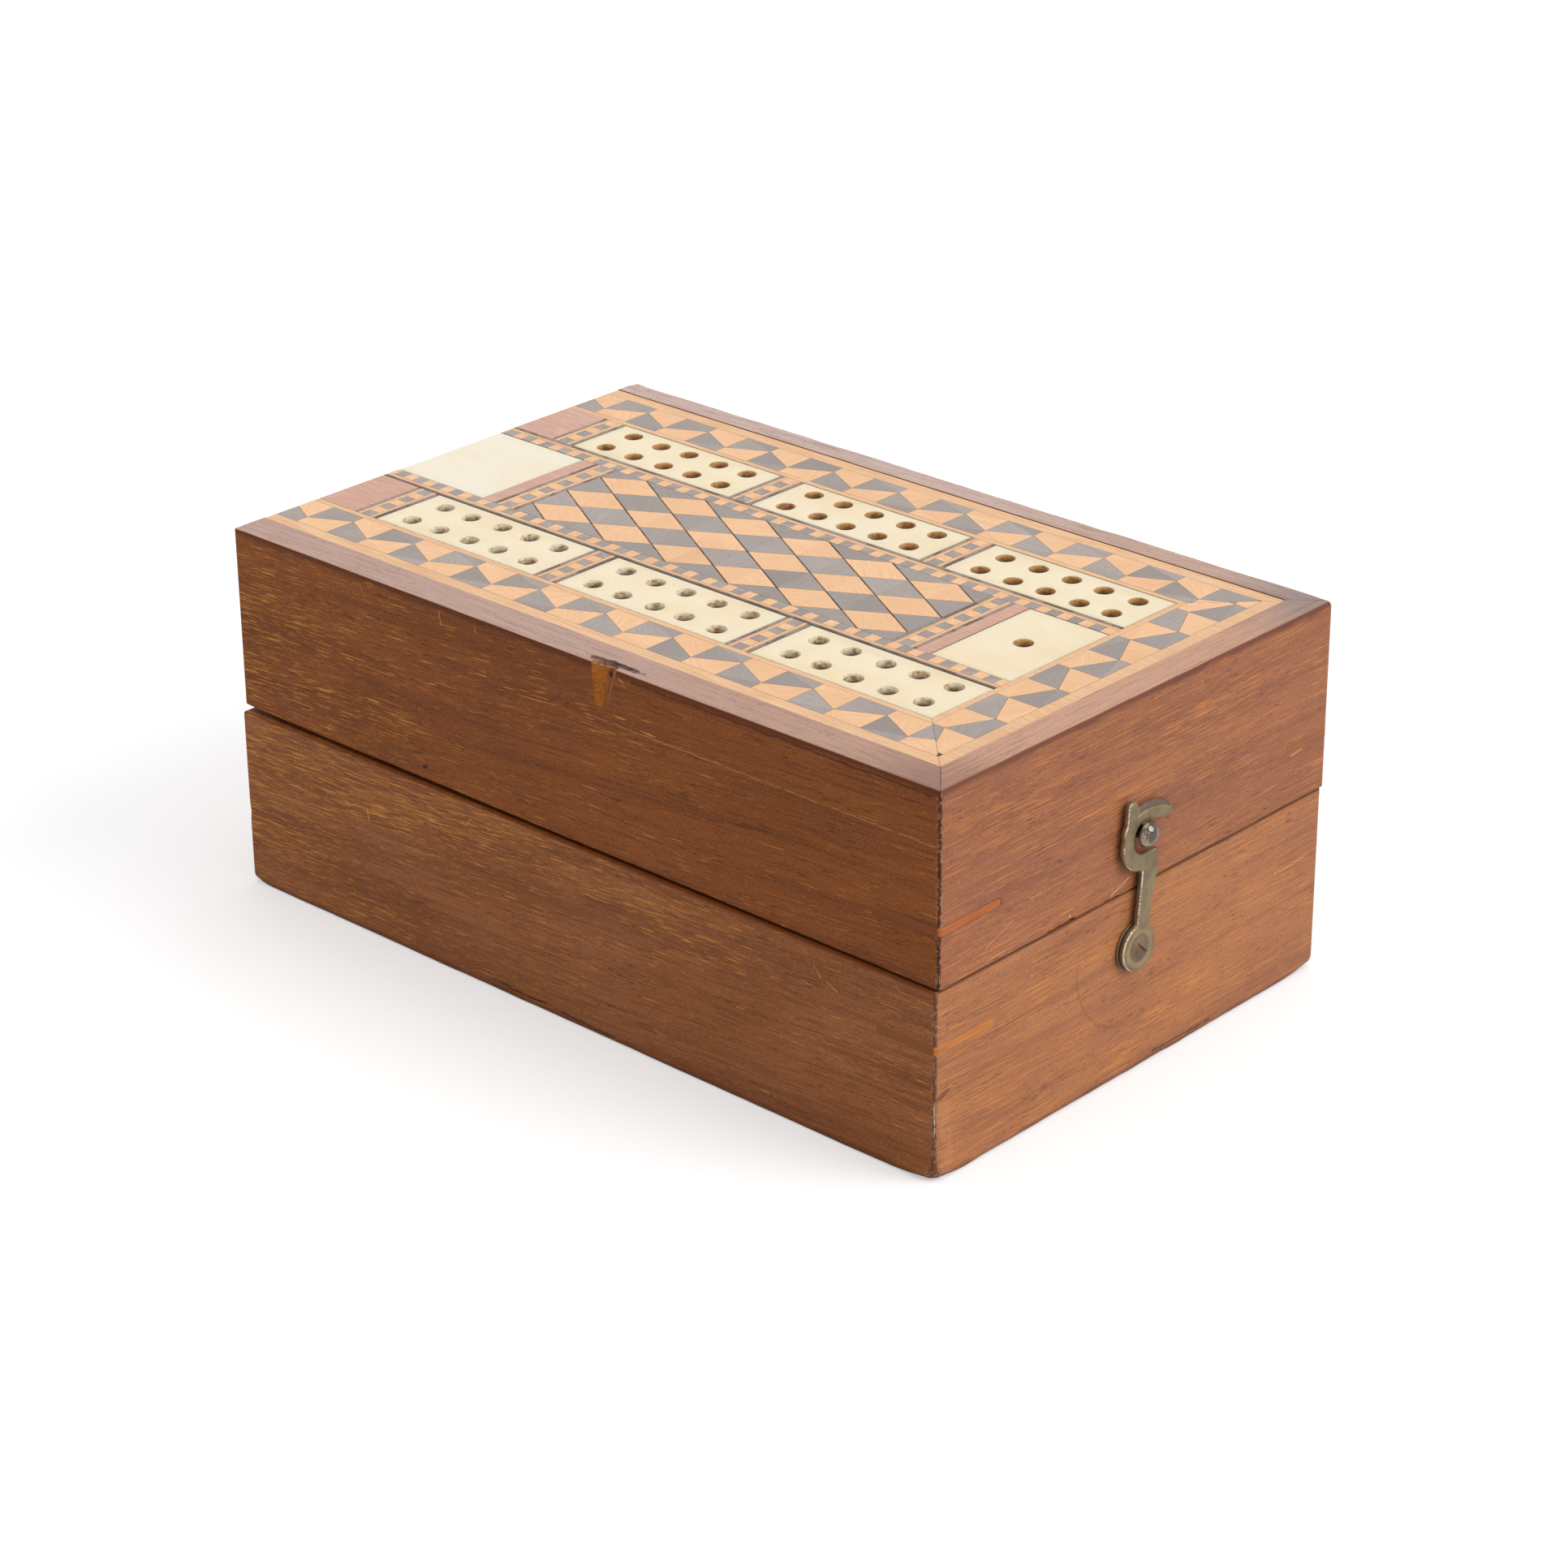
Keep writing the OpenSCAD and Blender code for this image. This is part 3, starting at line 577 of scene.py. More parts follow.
    def _top_with_sheen(self, plank: Plank, colour: Socket) -> Socket:
        """Greys the outer edge that lies around the board with a painted reflection of the bright
        room, over its own grain lines, pits and cracks.

        Args:
            plank: The wall's coordinates.
            colour: The colour so far.

        Returns:
            The new colour.
        """
        r, at = plank.r, plank.fibre_at
        lines = r.noise(at, (10, 3, 0.6), self.seed + 9, 4)
        sheen_grey = r.lay(self.top, self.top_sheen_dusk, lines, 0.36, 0.7, 0.45)
        x, y, _ = r.parts(r.place)
        if self.grain is Grain.LENGTHWISE:
            sheen_grey = r.lay(sheen_grey, TAN, x, -10.0, 60.0, 0.35)
        near = blend(0.6, self.top_sheen_dusk, RUST)
        for corner, tone, cover in ((SIDE_FACE, near, 0.5), (-SIDE_FACE, ASH, 0.8)):
            past = r.join(r.math("SUBTRACT", x, HOOK_END), r.math("ADD", y, corner), 0.0)
            handled = r.scaled(lines, -18.0, r.vector("LENGTH", past))
            sheen_grey = r.lay(sheen_grey, tone, handled, 18.0, -6.0, cover)
        pits = r.noise(at, (1.5, 1, 0.26), self.seed + 10, 1)
        sheen_grey = r.lay(sheen_grey, blend(0.4, self.top_sheen_dusk, SOOT), pits, 0.63, 0.75, 0.7)
        cracks = r.noise(at, (18, 3, 0.24), self.seed + 16, 1)
        sheen_grey = r.lay(sheen_grey, blend(0.7, self.top_sheen_dusk, SOOT), cracks, 0.67, 0.73, 0.75)
        # The painted reflection lies only on up-facing faces near the outer edge.
        outer = r.rise(r.gap(plank.z, self.edge_at), 4.0, 2.0)
        return r.mix(r.times(outer, r.rise(r.upright(), 0.8, 0.97)), colour, sheen_grey)

    def _torn(self, plank: Plank, colour: Socket) -> Socket:
        """Shows fresh wood where a bite or a gouge has torn the surface off, and paints shade on
        the gouge's flank that faces the hinge end.

        Args:
            plank: The wall's coordinates.
            colour: The colour so far.

        Returns:
            The new colour.
        """
        r = plank.r
        fresh, dark = (
            r.node("ShaderNodeAttribute", attribute_name=look).outputs["Fac"] for look in TORN_LOOKS
        )
        hatch = r.noise(r.place, (1.5, 0.6, 0.24), self.seed + 13, 3)
        x = r.parts(r.facing)[0]
        # Painted shade: the gouge's flank that faces the hinge end, away from the key lamp, is
        # browner; its steepest part is painted pale.
        torn = r.lay(self.fresh, blend(0.7, self.fresh, self.dusk), x, 0.25, -0.3)
        torn = r.lay(torn, blend(0.6, self.fresh, PALE), x, -0.45, -0.72, 0.8)
        torn = r.lay(torn, blend(0.6, self.fresh, SOOT), hatch, 0.44, 0.64, 0.65)
        return r.mix(dark, r.mix(fresh, colour, torn), blend(0.2, SOOT, self.top_sheen_dusk))

    def _seam(self, plank: Plank, colour: Socket) -> Socket:
        """Darkens the joint between the two cases along its outer edge: painted shade of the gap
        between the cases, with dirt rubbed in.

        Args:
            plank: The wall's coordinates.
            colour: The colour so far.

        Returns:
            The new colour.
        """
        r = plank.r
        seam_blots = r.noise(r.place, (3.0, 3.0, 1.2), self.seed + 11, 3)
        away = r.math("DIVIDE", r.gap(plank.z, SEAM), r.scaled(seam_blots, 1.2, 0.1))
        # Painted shade and dirt, strongest right at the seam.
        dirt = r.rise(away, 1.0, 0.35, self.seam_shade_and_dirt)
        face = SIDE_FACE if self.grain is Grain.LENGTHWISE else HOOK_END
        out = r.scaled(seam_blots, 1.6, r.math("ABSOLUTE", plank.deep))
        outer = r.rise(out, face - 2.4, face - 1.0)
        return r.mix(r.times(dirt, outer), colour, self.lip)


@dataclass(frozen=True)
class InlayWood:
    """A veneer: each piece turned and shaded a little differently from its neighbour."""

    name: str
    body: Colour
    line: Colour
    stain: Colour
    seed: float
    figure: float = 0.5
    turned: bool = True
    vary: float = 0.5
    soil: float = 0.0
    crack_at: float | None = None

    def build(self) -> bpy.types.Material:
        """Writes the veneer's nodes.

        Returns:
            The veneer's material.
        """
        r = Recipe(self.name)
        luck = r.node("ShaderNodeNewGeometry").outputs["Random Per Island"]
        turn = r.node("ShaderNodeVectorRotate", rotation_type="Z_AXIS")
        r.feed(turn.inputs["Vector"], r.place)
        if self.turned:
            r.feed(turn.inputs["Angle"], r.times(luck, 9.0))
        at = turn.outputs[0]
        wander = r.noise(at, (9, 9, 9), self.seed)
        x, y, z = r.parts(at)
        at = r.join(x, r.scaled(wander, 3.0, y), z)
        grain = r.noise(at, (9, 0.5, 2), self.seed + 1, 3)
        pore = r.noise(at, (1.6, 0.2, 1), self.seed + 2, 1)
        colour = r.mix(r.times(luck, self.vary), self.body, self.line)
        colour = r.lay(colour, self.line, grain, 0.36, 0.68, self.figure)
        colour = r.lay(colour, self.stain, pore, 0.62, 0.76, 0.45)
        dust = r.noise(r.place, (26, 26, 26), self.seed + 3, 3)
        colour = r.lay(colour, self.stain, dust, 0.5, 0.75, 0.22)
        if self.soil:
            patch = r.noise(r.place, (5, 5, 5), self.seed + 4, 3)
            colour = r.lay(colour, self.stain, patch, 0.48, 0.6, self.soil)
        if self.crack_at is not None:
            across = r.gap(r.parts(r.place)[1], self.crack_at)
            ragged = r.scaled(r.noise(r.place, (6, 6, 6), self.seed + 5, 3), -0.5, across)
            colour = r.lay(colour, self.stain, ragged, 0.3, 0.0, 0.85)
        sides = r.rise(r.upright(), 0.75, 0.3, 0.9)
        colour = r.mix(sides, colour, blend(0.72, self.body, GRIME))
        r.bump(grain, 0.03)
        return r.finish(colour, r.scaled(grain, 0.2, 0.34), 0.4)


@dataclass(frozen=True)
class KeyWood:
    """A slip across a mitre: like the wall where it faces front, and redder on the near end."""

    name: str
    front: Colour
    end: Colour
    far: Colour
    seed: float

    def build(self) -> bpy.types.Material:
        """Writes the slip's nodes.

        Returns:
            The slip's material.
        """
        r = Recipe(self.name)
        fibre = r.noise(r.place, (6, 6, 0.3), self.seed, 3)
        x, _, z = r.parts(r.vector("ABSOLUTE", r.facing))
        end = r.lay(self.end, self.far, r.parts(r.place)[1], -10.0, 10.0)
        face = r.lay(self.front, end, x, 0.35, 0.7)
        colour = r.lay(face, blend(0.5, self.front, RUST), fibre, 0.4, 0.66, 0.3)
        colour = r.lay(colour, RUST, z, 0.12, 0.5, 0.3)
        r.bump(fibre, 0.04)
        return r.finish(colour, r.scaled(fibre, 0.22, 0.36), 0.12)


@dataclass(frozen=True)
class Bone:
    """Old bone: cream, a little clouded, with brown dirt down the peg holes, and painted light on
    the walls of the front holes.
    """

    name: str = "old_bone"
    body: Colour = paint(249, 228, 195)
    cloud: Colour = paint(240, 212, 168)
    # The front holes' walls: a cream paler than the bone's face, painted light in the holes.
    lit_hole: Colour = paint(255, 242, 218)
    pit: Colour = paint(186, 144, 90)
    far_hole: Colour = paint(214, 166, 102)
    far_pit: Colour = paint(156, 110, 56)
    seed: float = 3.0

    def build(self) -> bpy.types.Material:
        """Writes the bone's nodes.

        Returns:
            The bone's material.
        """
        r = Recipe(self.name)
        cloud = r.noise(r.place, (22, 12, 12), self.seed, 3)
        colour = r.lay(self.body, self.cloud, cloud, 0.4, 0.72, 0.6)
        canal = r.noise(r.place, (5.0, 0.2, 1), self.seed + 1, 1)
        colour = r.lay(colour, self.cloud, canal, 0.66, 0.8, 0.3)
        speck = r.noise(r.place, (0.5, 0.35, 1), self.seed + 2, 0)
        colour = r.lay(colour, self.pit, speck, 0.78, 0.86, 0.5)
        dirt = r.noise(r.place, (1.1, 1.1, 0.8), self.seed + 3, 3)
        far = r.rise(r.parts(r.place)[1], -6.0, 6.0)
        # Painted light: the front holes' walls take a cream paler than the bone's face; the back
        # holes take their own tone.
        wall_tone, soiled = r.mix(far, self.lit_hole, self.far_hole), r.mix(far, self.pit, self.far_pit)
        stain = r.lay(wall_tone, soiled, dirt, 0.44, 0.68)
        reach = r.scaled(dirt, 0.5, r.upright())
        colour = r.lay(colour, stain, reach, 1.15, 0.5, 0.85)
        lip = r.times(r.rise(r.upright(), 0.3, 0.6), r.rise(r.upright(), 0.98, 0.85, 0.5))
        colour = r.mix(lip, colour, self.far_pit)
        r.bump(canal, 0.02)
        r.skin.inputs["Subsurface Weight"].default_value = 0.8
        r.skin.inputs["Subsurface Radius"].default_value = (0.8, 0.8, 0.8)
        r.skin.inputs["Subsurface Scale"].default_value = 2.4 * MM
        return r.finish(colour, r.scaled(cloud, 0.2, 0.3), 0.45)


@dataclass(frozen=True)
class AgedBrass:
    """Brass with a dull green-brown skin, and a painted highlight on its bevels that face left."""

    name: str
    skin: Colour
    shade: Colour
    # rubbed: colour of the painted highlight on the bevels that face left; edge: how much of it
    # shows.
    rubbed: Colour
    seed: float
    edge: float = 0.8
    rough: float = 0.5
    metal: float = 0.45
    pitted: float = 0.06
    coat: float = 0.0
    ring: Span | None = None

    def build(self) -> bpy.types.Material:
        """Writes the brass's nodes.

        Returns:
            The brass's material.
        """
        r = Recipe(self.name)
        cloud = r.noise(r.place, (3.6, 3.0, 3.4), self.seed, 3)
        speck = r.noise(r.place, (0.3, 0.3, 0.3), self.seed + 1, 2)
        colour = r.lay(self.skin, self.shade, cloud, 0.36, 0.68, 0.8)
        colour = r.lay(colour, self.shade, speck, 0.5, 0.7, 0.5)
        if self.ring:
            y, z, radius = self.ring
            rel = r.vector("MULTIPLY", r.vector("SUBTRACT", r.place, (0.0, y, z)), (0.0, 1.0, 1.0))
            near = r.gap(r.vector("LENGTH", rel), radius)
            near = r.scaled(speck, 0.6, near)
            colour = r.lay(colour, BRIGHT, near, 1.2, 0.3, 0.45)
        out, across, _ = r.parts(r.facing)
        # Painted highlight: bevels that face left are painted bright, with a little more metal and
        # gloss; the noise breaks it into patches.
        bevel = r.times(r.rise(out, 0.3, 0.55), r.rise(out, 0.93, 0.8))
        worn = r.scaled(speck, 0.9, cloud)
        glint = r.times(bevel, r.rise(worn, 0.82, 1.05, self.edge))
        glint = r.times(glint, r.rise(across, -0.1, -0.45))
        colour = r.mix(glint, colour, self.rubbed)
        r.bump(speck, self.pitted)
        r.skin.inputs["Coat Weight"].default_value = self.coat
        r.feed(r.skin.inputs["Metallic"], r.scaled(glint, 0.3, self.metal))
        return r.finish(colour, r.scaled(glint, -0.2, self.rough))


def stand(name: str, data: bpy.types.ID) -> bpy.types.Object:
    """Stands a mesh, a lamp or the camera in the scene.

    Args:
        name: Its name.
        data: What it is made of.

    Returns:
        The object.
    """
    made = bpy.data.objects.new(name, data)
    bpy.context.scene.collection.objects.link(made)
    return made


def smooth(mesh: bpy.types.Mesh, angle: float) -> None:
    """Shades a mesh softly, except across its sharp edges."""
    mesh.polygons.foreach_set("use_smooth", [True] * len(mesh.polygons))
    mesh.set_sharp_from_angle(angle=math.radians(angle))


class Lattice:
    """Seeded smooth noise for wear that follows no pattern."""

    def __init__(self, seed: int) -> None:
        """Fills the lattice.

        Args:
            seed: Start of the random numbers.
        """
        self.table = np.random.default_rng(seed).random(CELLS)

    def at(self, points: np.ndarray, size: float) -> np.ndarray:
        """Reads the noise.

        Args:
            points: Places, in millimetres.
            size: Size of the blots, in millimetres.

        Returns:
            A number from 0 to 1 for each place.
        """
        cell = np.floor(points / size).astype(np.int64)
        part = points / size - cell
        part = part * part * (3 - 2 * part)
        total = np.zeros(len(points))
        for corner in itertools.product((0, 1), repeat=3):
            x, y, z = ((cell + np.array(corner)) * np.array(PRIMES)).T
            weight = np.prod(np.where(corner, part, 1 - part), axis=1)
            total += weight * self.table[(x ^ y ^ z) & (CELLS - 1)]
        return total


def rounded_meet(a: np.ndarray, b: np.ndarray, radius: np.ndarray | float) -> np.ndarray:
    """Distance to the solid where two half-spaces meet, with the edge between them rounded.

    Args:
        a: Distance to the first half-space, negative inside it.
        b: Distance to the second.
        radius: Radius of the edge.

    Returns:
        The distance for each place.
    """
    outside = np.hypot(np.maximum(a + radius, 0), np.maximum(b + radius, 0))
    return np.minimum(np.maximum(a, b), -radius) + outside


def fade(away: np.ndarray, reach: float) -> np.ndarray:
    """One at nought, fading softly to nothing past a reach."""
    return np.exp(-((away / reach) ** 2))


@dataclass(frozen=True)
class Chip:
    """A bite out of a case: a rough ellipsoid, in millimetres from the case's middle and rim."""

    centre: Point
    radii: Point
    rough: float = 0.35
    fresh: float = 0.0
    dark: float = 0.0

    def cut(self, points: np.ndarray, ragged: np.ndarray) -> np.ndarray:
        """Distance to the bite, negative inside it.

        Args:
            points: Places in the case's own frame.
            ragged: Roughness at each place, from 0 to 1.

        Returns:
            The distance for each place.
        """
        rel = (points - np.array(self.centre)) / np.array(self.radii)
        size = min(self.radii)
        return (np.linalg.norm(rel, axis=1) - 1 + (ragged - 0.5) * 2 * self.rough) * size


@dataclass(frozen=True)
class Gouge:
    """The tapered half-round cut in the lid's front edge."""

    middle: float = 10.95
    lean: float = 0.9
    width: float = 6.2
    depth: float = 1.6
    height: float = 7.7
    foot: float = 0.3
    fresh: float = 0.95
    dark: float = 0.0

    def cut(self, points: np.ndarray, noise: Lattice, face: float, top: float) -> np.ndarray:
        """Distance to the cut, negative inside it.

        Args:
            points: Places in the case's own frame.
            noise: Where its torn fibres come from.
            face: Where the wall's outer face lies.
            top: Where the wall's outer edge lies.

        Returns:
            The distance for each place.
        """
        radius = (self.width**2 / 4 + self.depth**2) / (2 * self.depth)
        share = np.clip((points[:, 2] - (top - self.height)) / self.height, -0.2, 1.2)
        middle = self.middle - self.lean * (1 - share)
        away = np.hypot(points[:, 0] - middle, points[:, 1] - (face + self.depth - radius))
        fibres = noise.at(points * np.array([1, 1, 0.35]), 0.7) - 0.5
        reach = self.foot + (1 - self.foot) * np.maximum(share, 0) - 3 * np.maximum(-share, 0)
        return away - (radius - (1 - reach) * self.depth) + 0.22 * fibres


@dataclass
class CaseShape:
    """One case as a solid: a box with worn edges, bites and a gouge, in millimetres.

    The case is held rim down: x from the hinge end, y from the middle, height from the rim. The rim
    stands a little proud at the hook end, where the cases almost touch, and gapes at the hinge end.
    """

    length: float
    width: float
    height: float
    noise: Lattice
    edge: float = 1.0
    rim: float = 0.28
    proud: float = 0.1
    gape: float = 0.42
    corner: float = 1.06
    hinge_corner: float = 0.0
    foot_corner: float = 0.0
    chips: tuple[Chip, ...] = ()
    gouge: Gouge | None = None
    rounds: int = 24
    pace: float = 0.85

    def distance(self, points: np.ndarray) -> np.ndarray:
        """Distance to the worn case, negative inside it.

        Args:
            points: Places in the case's own frame.

        Returns:
            The distance for each place.
        """
        x, y, h = points.T
        sides = np.abs(y) - self.width / 2
        from_hinge = x + self.length / 2
        wear = self.noise.at(points, 7.0)
        fine = self.noise.at(points, 1.6)
        foot = np.where(y < 0, self.foot_corner, 0.0) * fade(self.height - h, 4.0)
        turn = np.where(x > 0, self.corner + foot, 0.5)
        plan = rounded_meet(np.abs(x) - self.length / 2, sides, turn)
        to_hook = self.length - from_hinge
        front = fade(y + self.width / 2, 3.0) * (1 - fade(to_hook, 9.0))
        edge = self.edge * (0.72 + 0.5 * wear + 0.2 * fine) * (1 - 0.45 * front)
        edge = edge + self.foot_corner * fade(np.hypot(to_hook, sides), 5.0)
        edge = edge + self.hinge_corner * fade(np.hypot(from_hinge, sides), 2.5)
        edge = np.maximum(edge, 0.15)
        inner = np.clip((-sides - 1.2) / 1.5, 0, 1) * fade(from_hinge, 2.0)
        solid = rounded_meet(plan, h - self.height, edge * (1 - 0.85 * inner))
        lip = self.gape * (1 - from_hinge / self.length) - self.proud
        rim = self.rim * (0.6 + 0.8 * wear) + 0.3 * fade(from_hinge, 3.0)
        solid = rounded_meet(solid, lip - h, rim) + 0.02 + 0.012 * wear
        for cut, _ in self.cuts(points):
            solid = np.maximum(solid, -cut)
        return solid

    def cuts(self, points: np.ndarray) -> list[tuple[np.ndarray, Chip | Gouge]]:
        """Distances to the bites and the gouge.

        Args:
            points: Places in the case's own frame.

        Returns:
            For each cut, the distances (negative inside it) and the cut itself.
        """
        ragged = self.noise.at(points, 0.9)
        found: list[tuple[np.ndarray, Chip | Gouge]] = []
        for chip in self.chips:
            found.append((chip.cut(points, ragged), chip))
        if self.gouge:
            cut = self.gouge.cut(points, self.noise, -self.width / 2, self.height)
            found.append((cut, self.gouge))
        return found

    def settle(self, points: np.ndarray, blend_over: float = 2.6) -> np.ndarray:
        """Moves places on the sharp box inwards until they lie on the worn case.

        Args:
            points: Places on the faces of the sharp box.
            blend_over: How far from an edge the movement starts to slant.

        Returns:
            The moved places.
        """
        x, y, h = points.T
        plan = [self.length / 2 - np.abs(x), self.width / 2 - np.abs(y)]
        gaps = [*plan, h + self.proud, self.height - h]
        end, side, rim, top = (np.clip(1 - np.abs(gap) / blend_over, 0, 1) for gap in gaps)
        way = np.stack([-np.sign(x) * end, -np.sign(y) * side, rim - top], axis=1)
        way /= np.maximum(np.linalg.norm(way, axis=1, keepdims=True), 1e-9)
        moved = points.copy()
        for _ in range(self.rounds):
            moved = moved + way * np.maximum(self.distance(moved), 0)[:, None] * self.pace
        return moved

    def torn(self, points: np.ndarray, skin: float = 0.16) -> dict[str, np.ndarray]:
        """Finds where settled places lie in a bite or the gouge.

        Args:
            points: Settled places.
            skin: How near to the cut a place counts as torn.

        Returns:
            How fresh and how dark the torn wood looks at each place, from 0 to 1.
        """
        found = {look: np.zeros(len(points)) for look in TORN_LOOKS}
        for cut, bite in self.cuts(points):
            inside = np.clip(1.5 - 1.5 * np.abs(cut) / skin, 0, 1)
            for look in found:
                found[look] = np.maximum(found[look], getattr(bite, look) * inside)
        return found


def steps(start: float, end: float, size: float, fine: tuple[Span, ...] = ()) -> np.ndarray:
    """Places along a line, closer together near both ends and where asked.

    Args:
        start: First place.
        end: Last place.
        size: Usual spacing.
        fine: Spans to fill more closely, each a start, an end and a spacing.

    Returns:
        The places, sorted.
    """
    found = [start + EDGE_STEPS, end - EDGE_STEPS[::-1]]
    count = max(2, int(round((end - start - 5) / size)))
    found.append(np.linspace(start + 2.5, end - 2.5, count))
    for low, high, gap in fine:
        found.append(np.arange(low, high, gap))
    places = np.sort(np.concatenate(found))
    places = places[(places >= start) & (places <= end)]
    keep = np.concatenate([[True], np.diff(places) > CLOSEST])
    return places[keep]


@dataclass(frozen=True)
class Placing:
    """How a case's own frame lies in the box, in millimetres."""

    mirrored: bool
    rim_at: float
    shift: float

    def into_box(self, points: np.ndarray) -> np.ndarray:
        """Places in the box.

        Args:
            points: Places in the case's own frame, in millimetres.

        Returns:
            The same places in the box's frame, in metres.
        """
        x, y, h = points.T
        z = self.rim_at - h if self.mirrored else self.rim_at + h
        return np.stack([x, y + self.shift, z], axis=1) * MM


@dataclass
class WornWall:
    """A case wall rebuilt as a skin over its worn shape, mitred at the hook end."""

    half: Half
    side: Side
    shape: CaseShape
    thickness: float
    meets: tuple[float, float]
    wood: CaseWood
    fine: tuple[Span, ...]
    joint: float
    sharp: float = 42.0
    spacing: float = 1.3
    insets: Span = (1.6, 0.7, 0.3)

    @property
    def name(self) -> str:
        """The piece's name."""
        return f"worn_{self.half.value}_{self.side.value}"

    def profile(self) -> np.ndarray:
        """Section of the wall.

        Returns:
            Depth from the outer face and height from the rim of each point, once round.
        """
        low, high = -self.shape.proud, self.shape.height
        gouged = self.shape.gouge and self.side is Side.FRONT
        tall = steps(low, high, self.spacing, ((high - 10, high, 0.3),) if gouged else ())
        wide = steps(0, self.thickness, 0.5, ((1.2, 3.8, 0.18),) if gouged else ())
        rim = np.stack([wide[::-1], np.full_like(wide, low)], axis=1)
        face = np.stack([np.zeros_like(tall), tall], axis=1)
        top = np.stack([wide, np.full_like(wide, high)], axis=1)
        inner = np.stack([np.full(8, self.thickness), np.linspace(high, low, 8)], axis=1)
        return np.concatenate([rim[:-1], face[:-1], top[:-1], inner[:-1]])

    def rings(self) -> np.ndarray:
        """Lays the section along the wall.

        Returns:
            Rings of places on the sharp box, in the case's own frame.
        """
        depth, tall = self.profile().T
        half_l, half_w = self.shape.length / 2, self.shape.width / 2
        if self.side is Side.LATCH:
            front, back = (half_w - self.joint - depth * t / self.thickness for t in self.meets)
            shares = steps(-half_w, half_w, self.spacing, self.fine) / (2 * half_w) + 0.5
            plans = [np.stack([half_l - depth, s * (front + back) - front]) for s in shares]
            return np.array([np.stack([*plan, tall], axis=1) for plan in plans])
        sign = -1 if self.side is Side.FRONT else 1
        limit = half_l - self.joint - depth * self.meets[0] / self.thickness
        rings = []
        for inset in self.insets:
            deep = np.clip(depth, inset, self.thickness)
            high = np.clip(tall, inset, self.shape.height - inset)
            end = np.full_like(deep, -half_l)
            rings.append(np.stack([end, sign * (half_w - deep), high], axis=1))
        for share in steps(-half_l, half_l, self.spacing, self.fine) / (2 * half_l) + 0.5:
            along = share * (limit + half_l) - half_l
            rings.append(np.stack([along, sign * (half_w - depth), tall], axis=1))
        return np.array(rings)

    def build(self, place: Placing) -> bpy.types.Object:
        """Makes the wall's mesh and puts it on its body.

        Args:
            place: How the case's own frame lies in the box.

        Returns:
            The wall.
        """
        rings = self.rings()
        count, around, _ = rings.shape
        worn = self.shape.settle(rings.reshape(-1, 3))
        index = np.arange(count * around).reshape(count, around)
        across = np.roll(index, -1, axis=1)
        quads = np.stack([index[:-1], across[:-1], across[1:], index[1:]], axis=-1).reshape(-1, 4)
        faces = [*quads.tolist(), index[0].tolist(), index[-1][::-1].tolist()]
        turned = (self.side is Side.BACK) ^ place.mirrored ^ (self.side is Side.LATCH)
        if not turned:
            faces = [face[::-1] for face in faces]
        mesh = bpy.data.meshes.new(self.name)
        mesh.from_pydata(place.into_box(worn).tolist(), [], faces)
        smooth(mesh, self.sharp)
        for look, amount in self.shape.torn(worn).items():
            mesh.attributes.new(look, "FLOAT", "POINT").data.foreach_set("value", amount)
        mesh.materials.append(self.wood.build())
        wall = stand(self.name, mesh)
        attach(wall, self.half.value)
        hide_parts(f"{self.half.value}_{self.side.value}")
        return wall


def dress(
    node: str, material: bpy.types.Material, soft: float, rings: int = 2, pillowed: bool = False
) -> None:
    """Gives a CAD piece its finish and a softened arris.

    Args:
        node: The CAD node's name.
        material: Its finish.
        soft: Width of the softened arris, in millimetres.
        rings: How many faces round the arris.
        pillowed: Whether its flat faces are joined first, so that the arris may be wide.
    """
    piece = bpy.data.objects[node]
    piece.data.materials.clear()
    piece.data.materials.append(material)
    piece.modifiers.new("weld", "WELD").merge_threshold = TOUCHING
    if pillowed:
        whole = piece.modifiers.new("whole faces", "DECIMATE")
        whole.decimate_type = "DISSOLVE"
        whole.angle_limit = math.radians(FLAT)
    round_off = piece.modifiers.new("soft arris", "BEVEL")
    round_off.width = soft * MM
    round_off.segments = rings
    round_off.limit_method = "ANGLE"
    round_off.angle_limit = math.radians(EDGE)
    round_off.harden_normals = True
    round_off.use_clamp_overlap = not pillowed


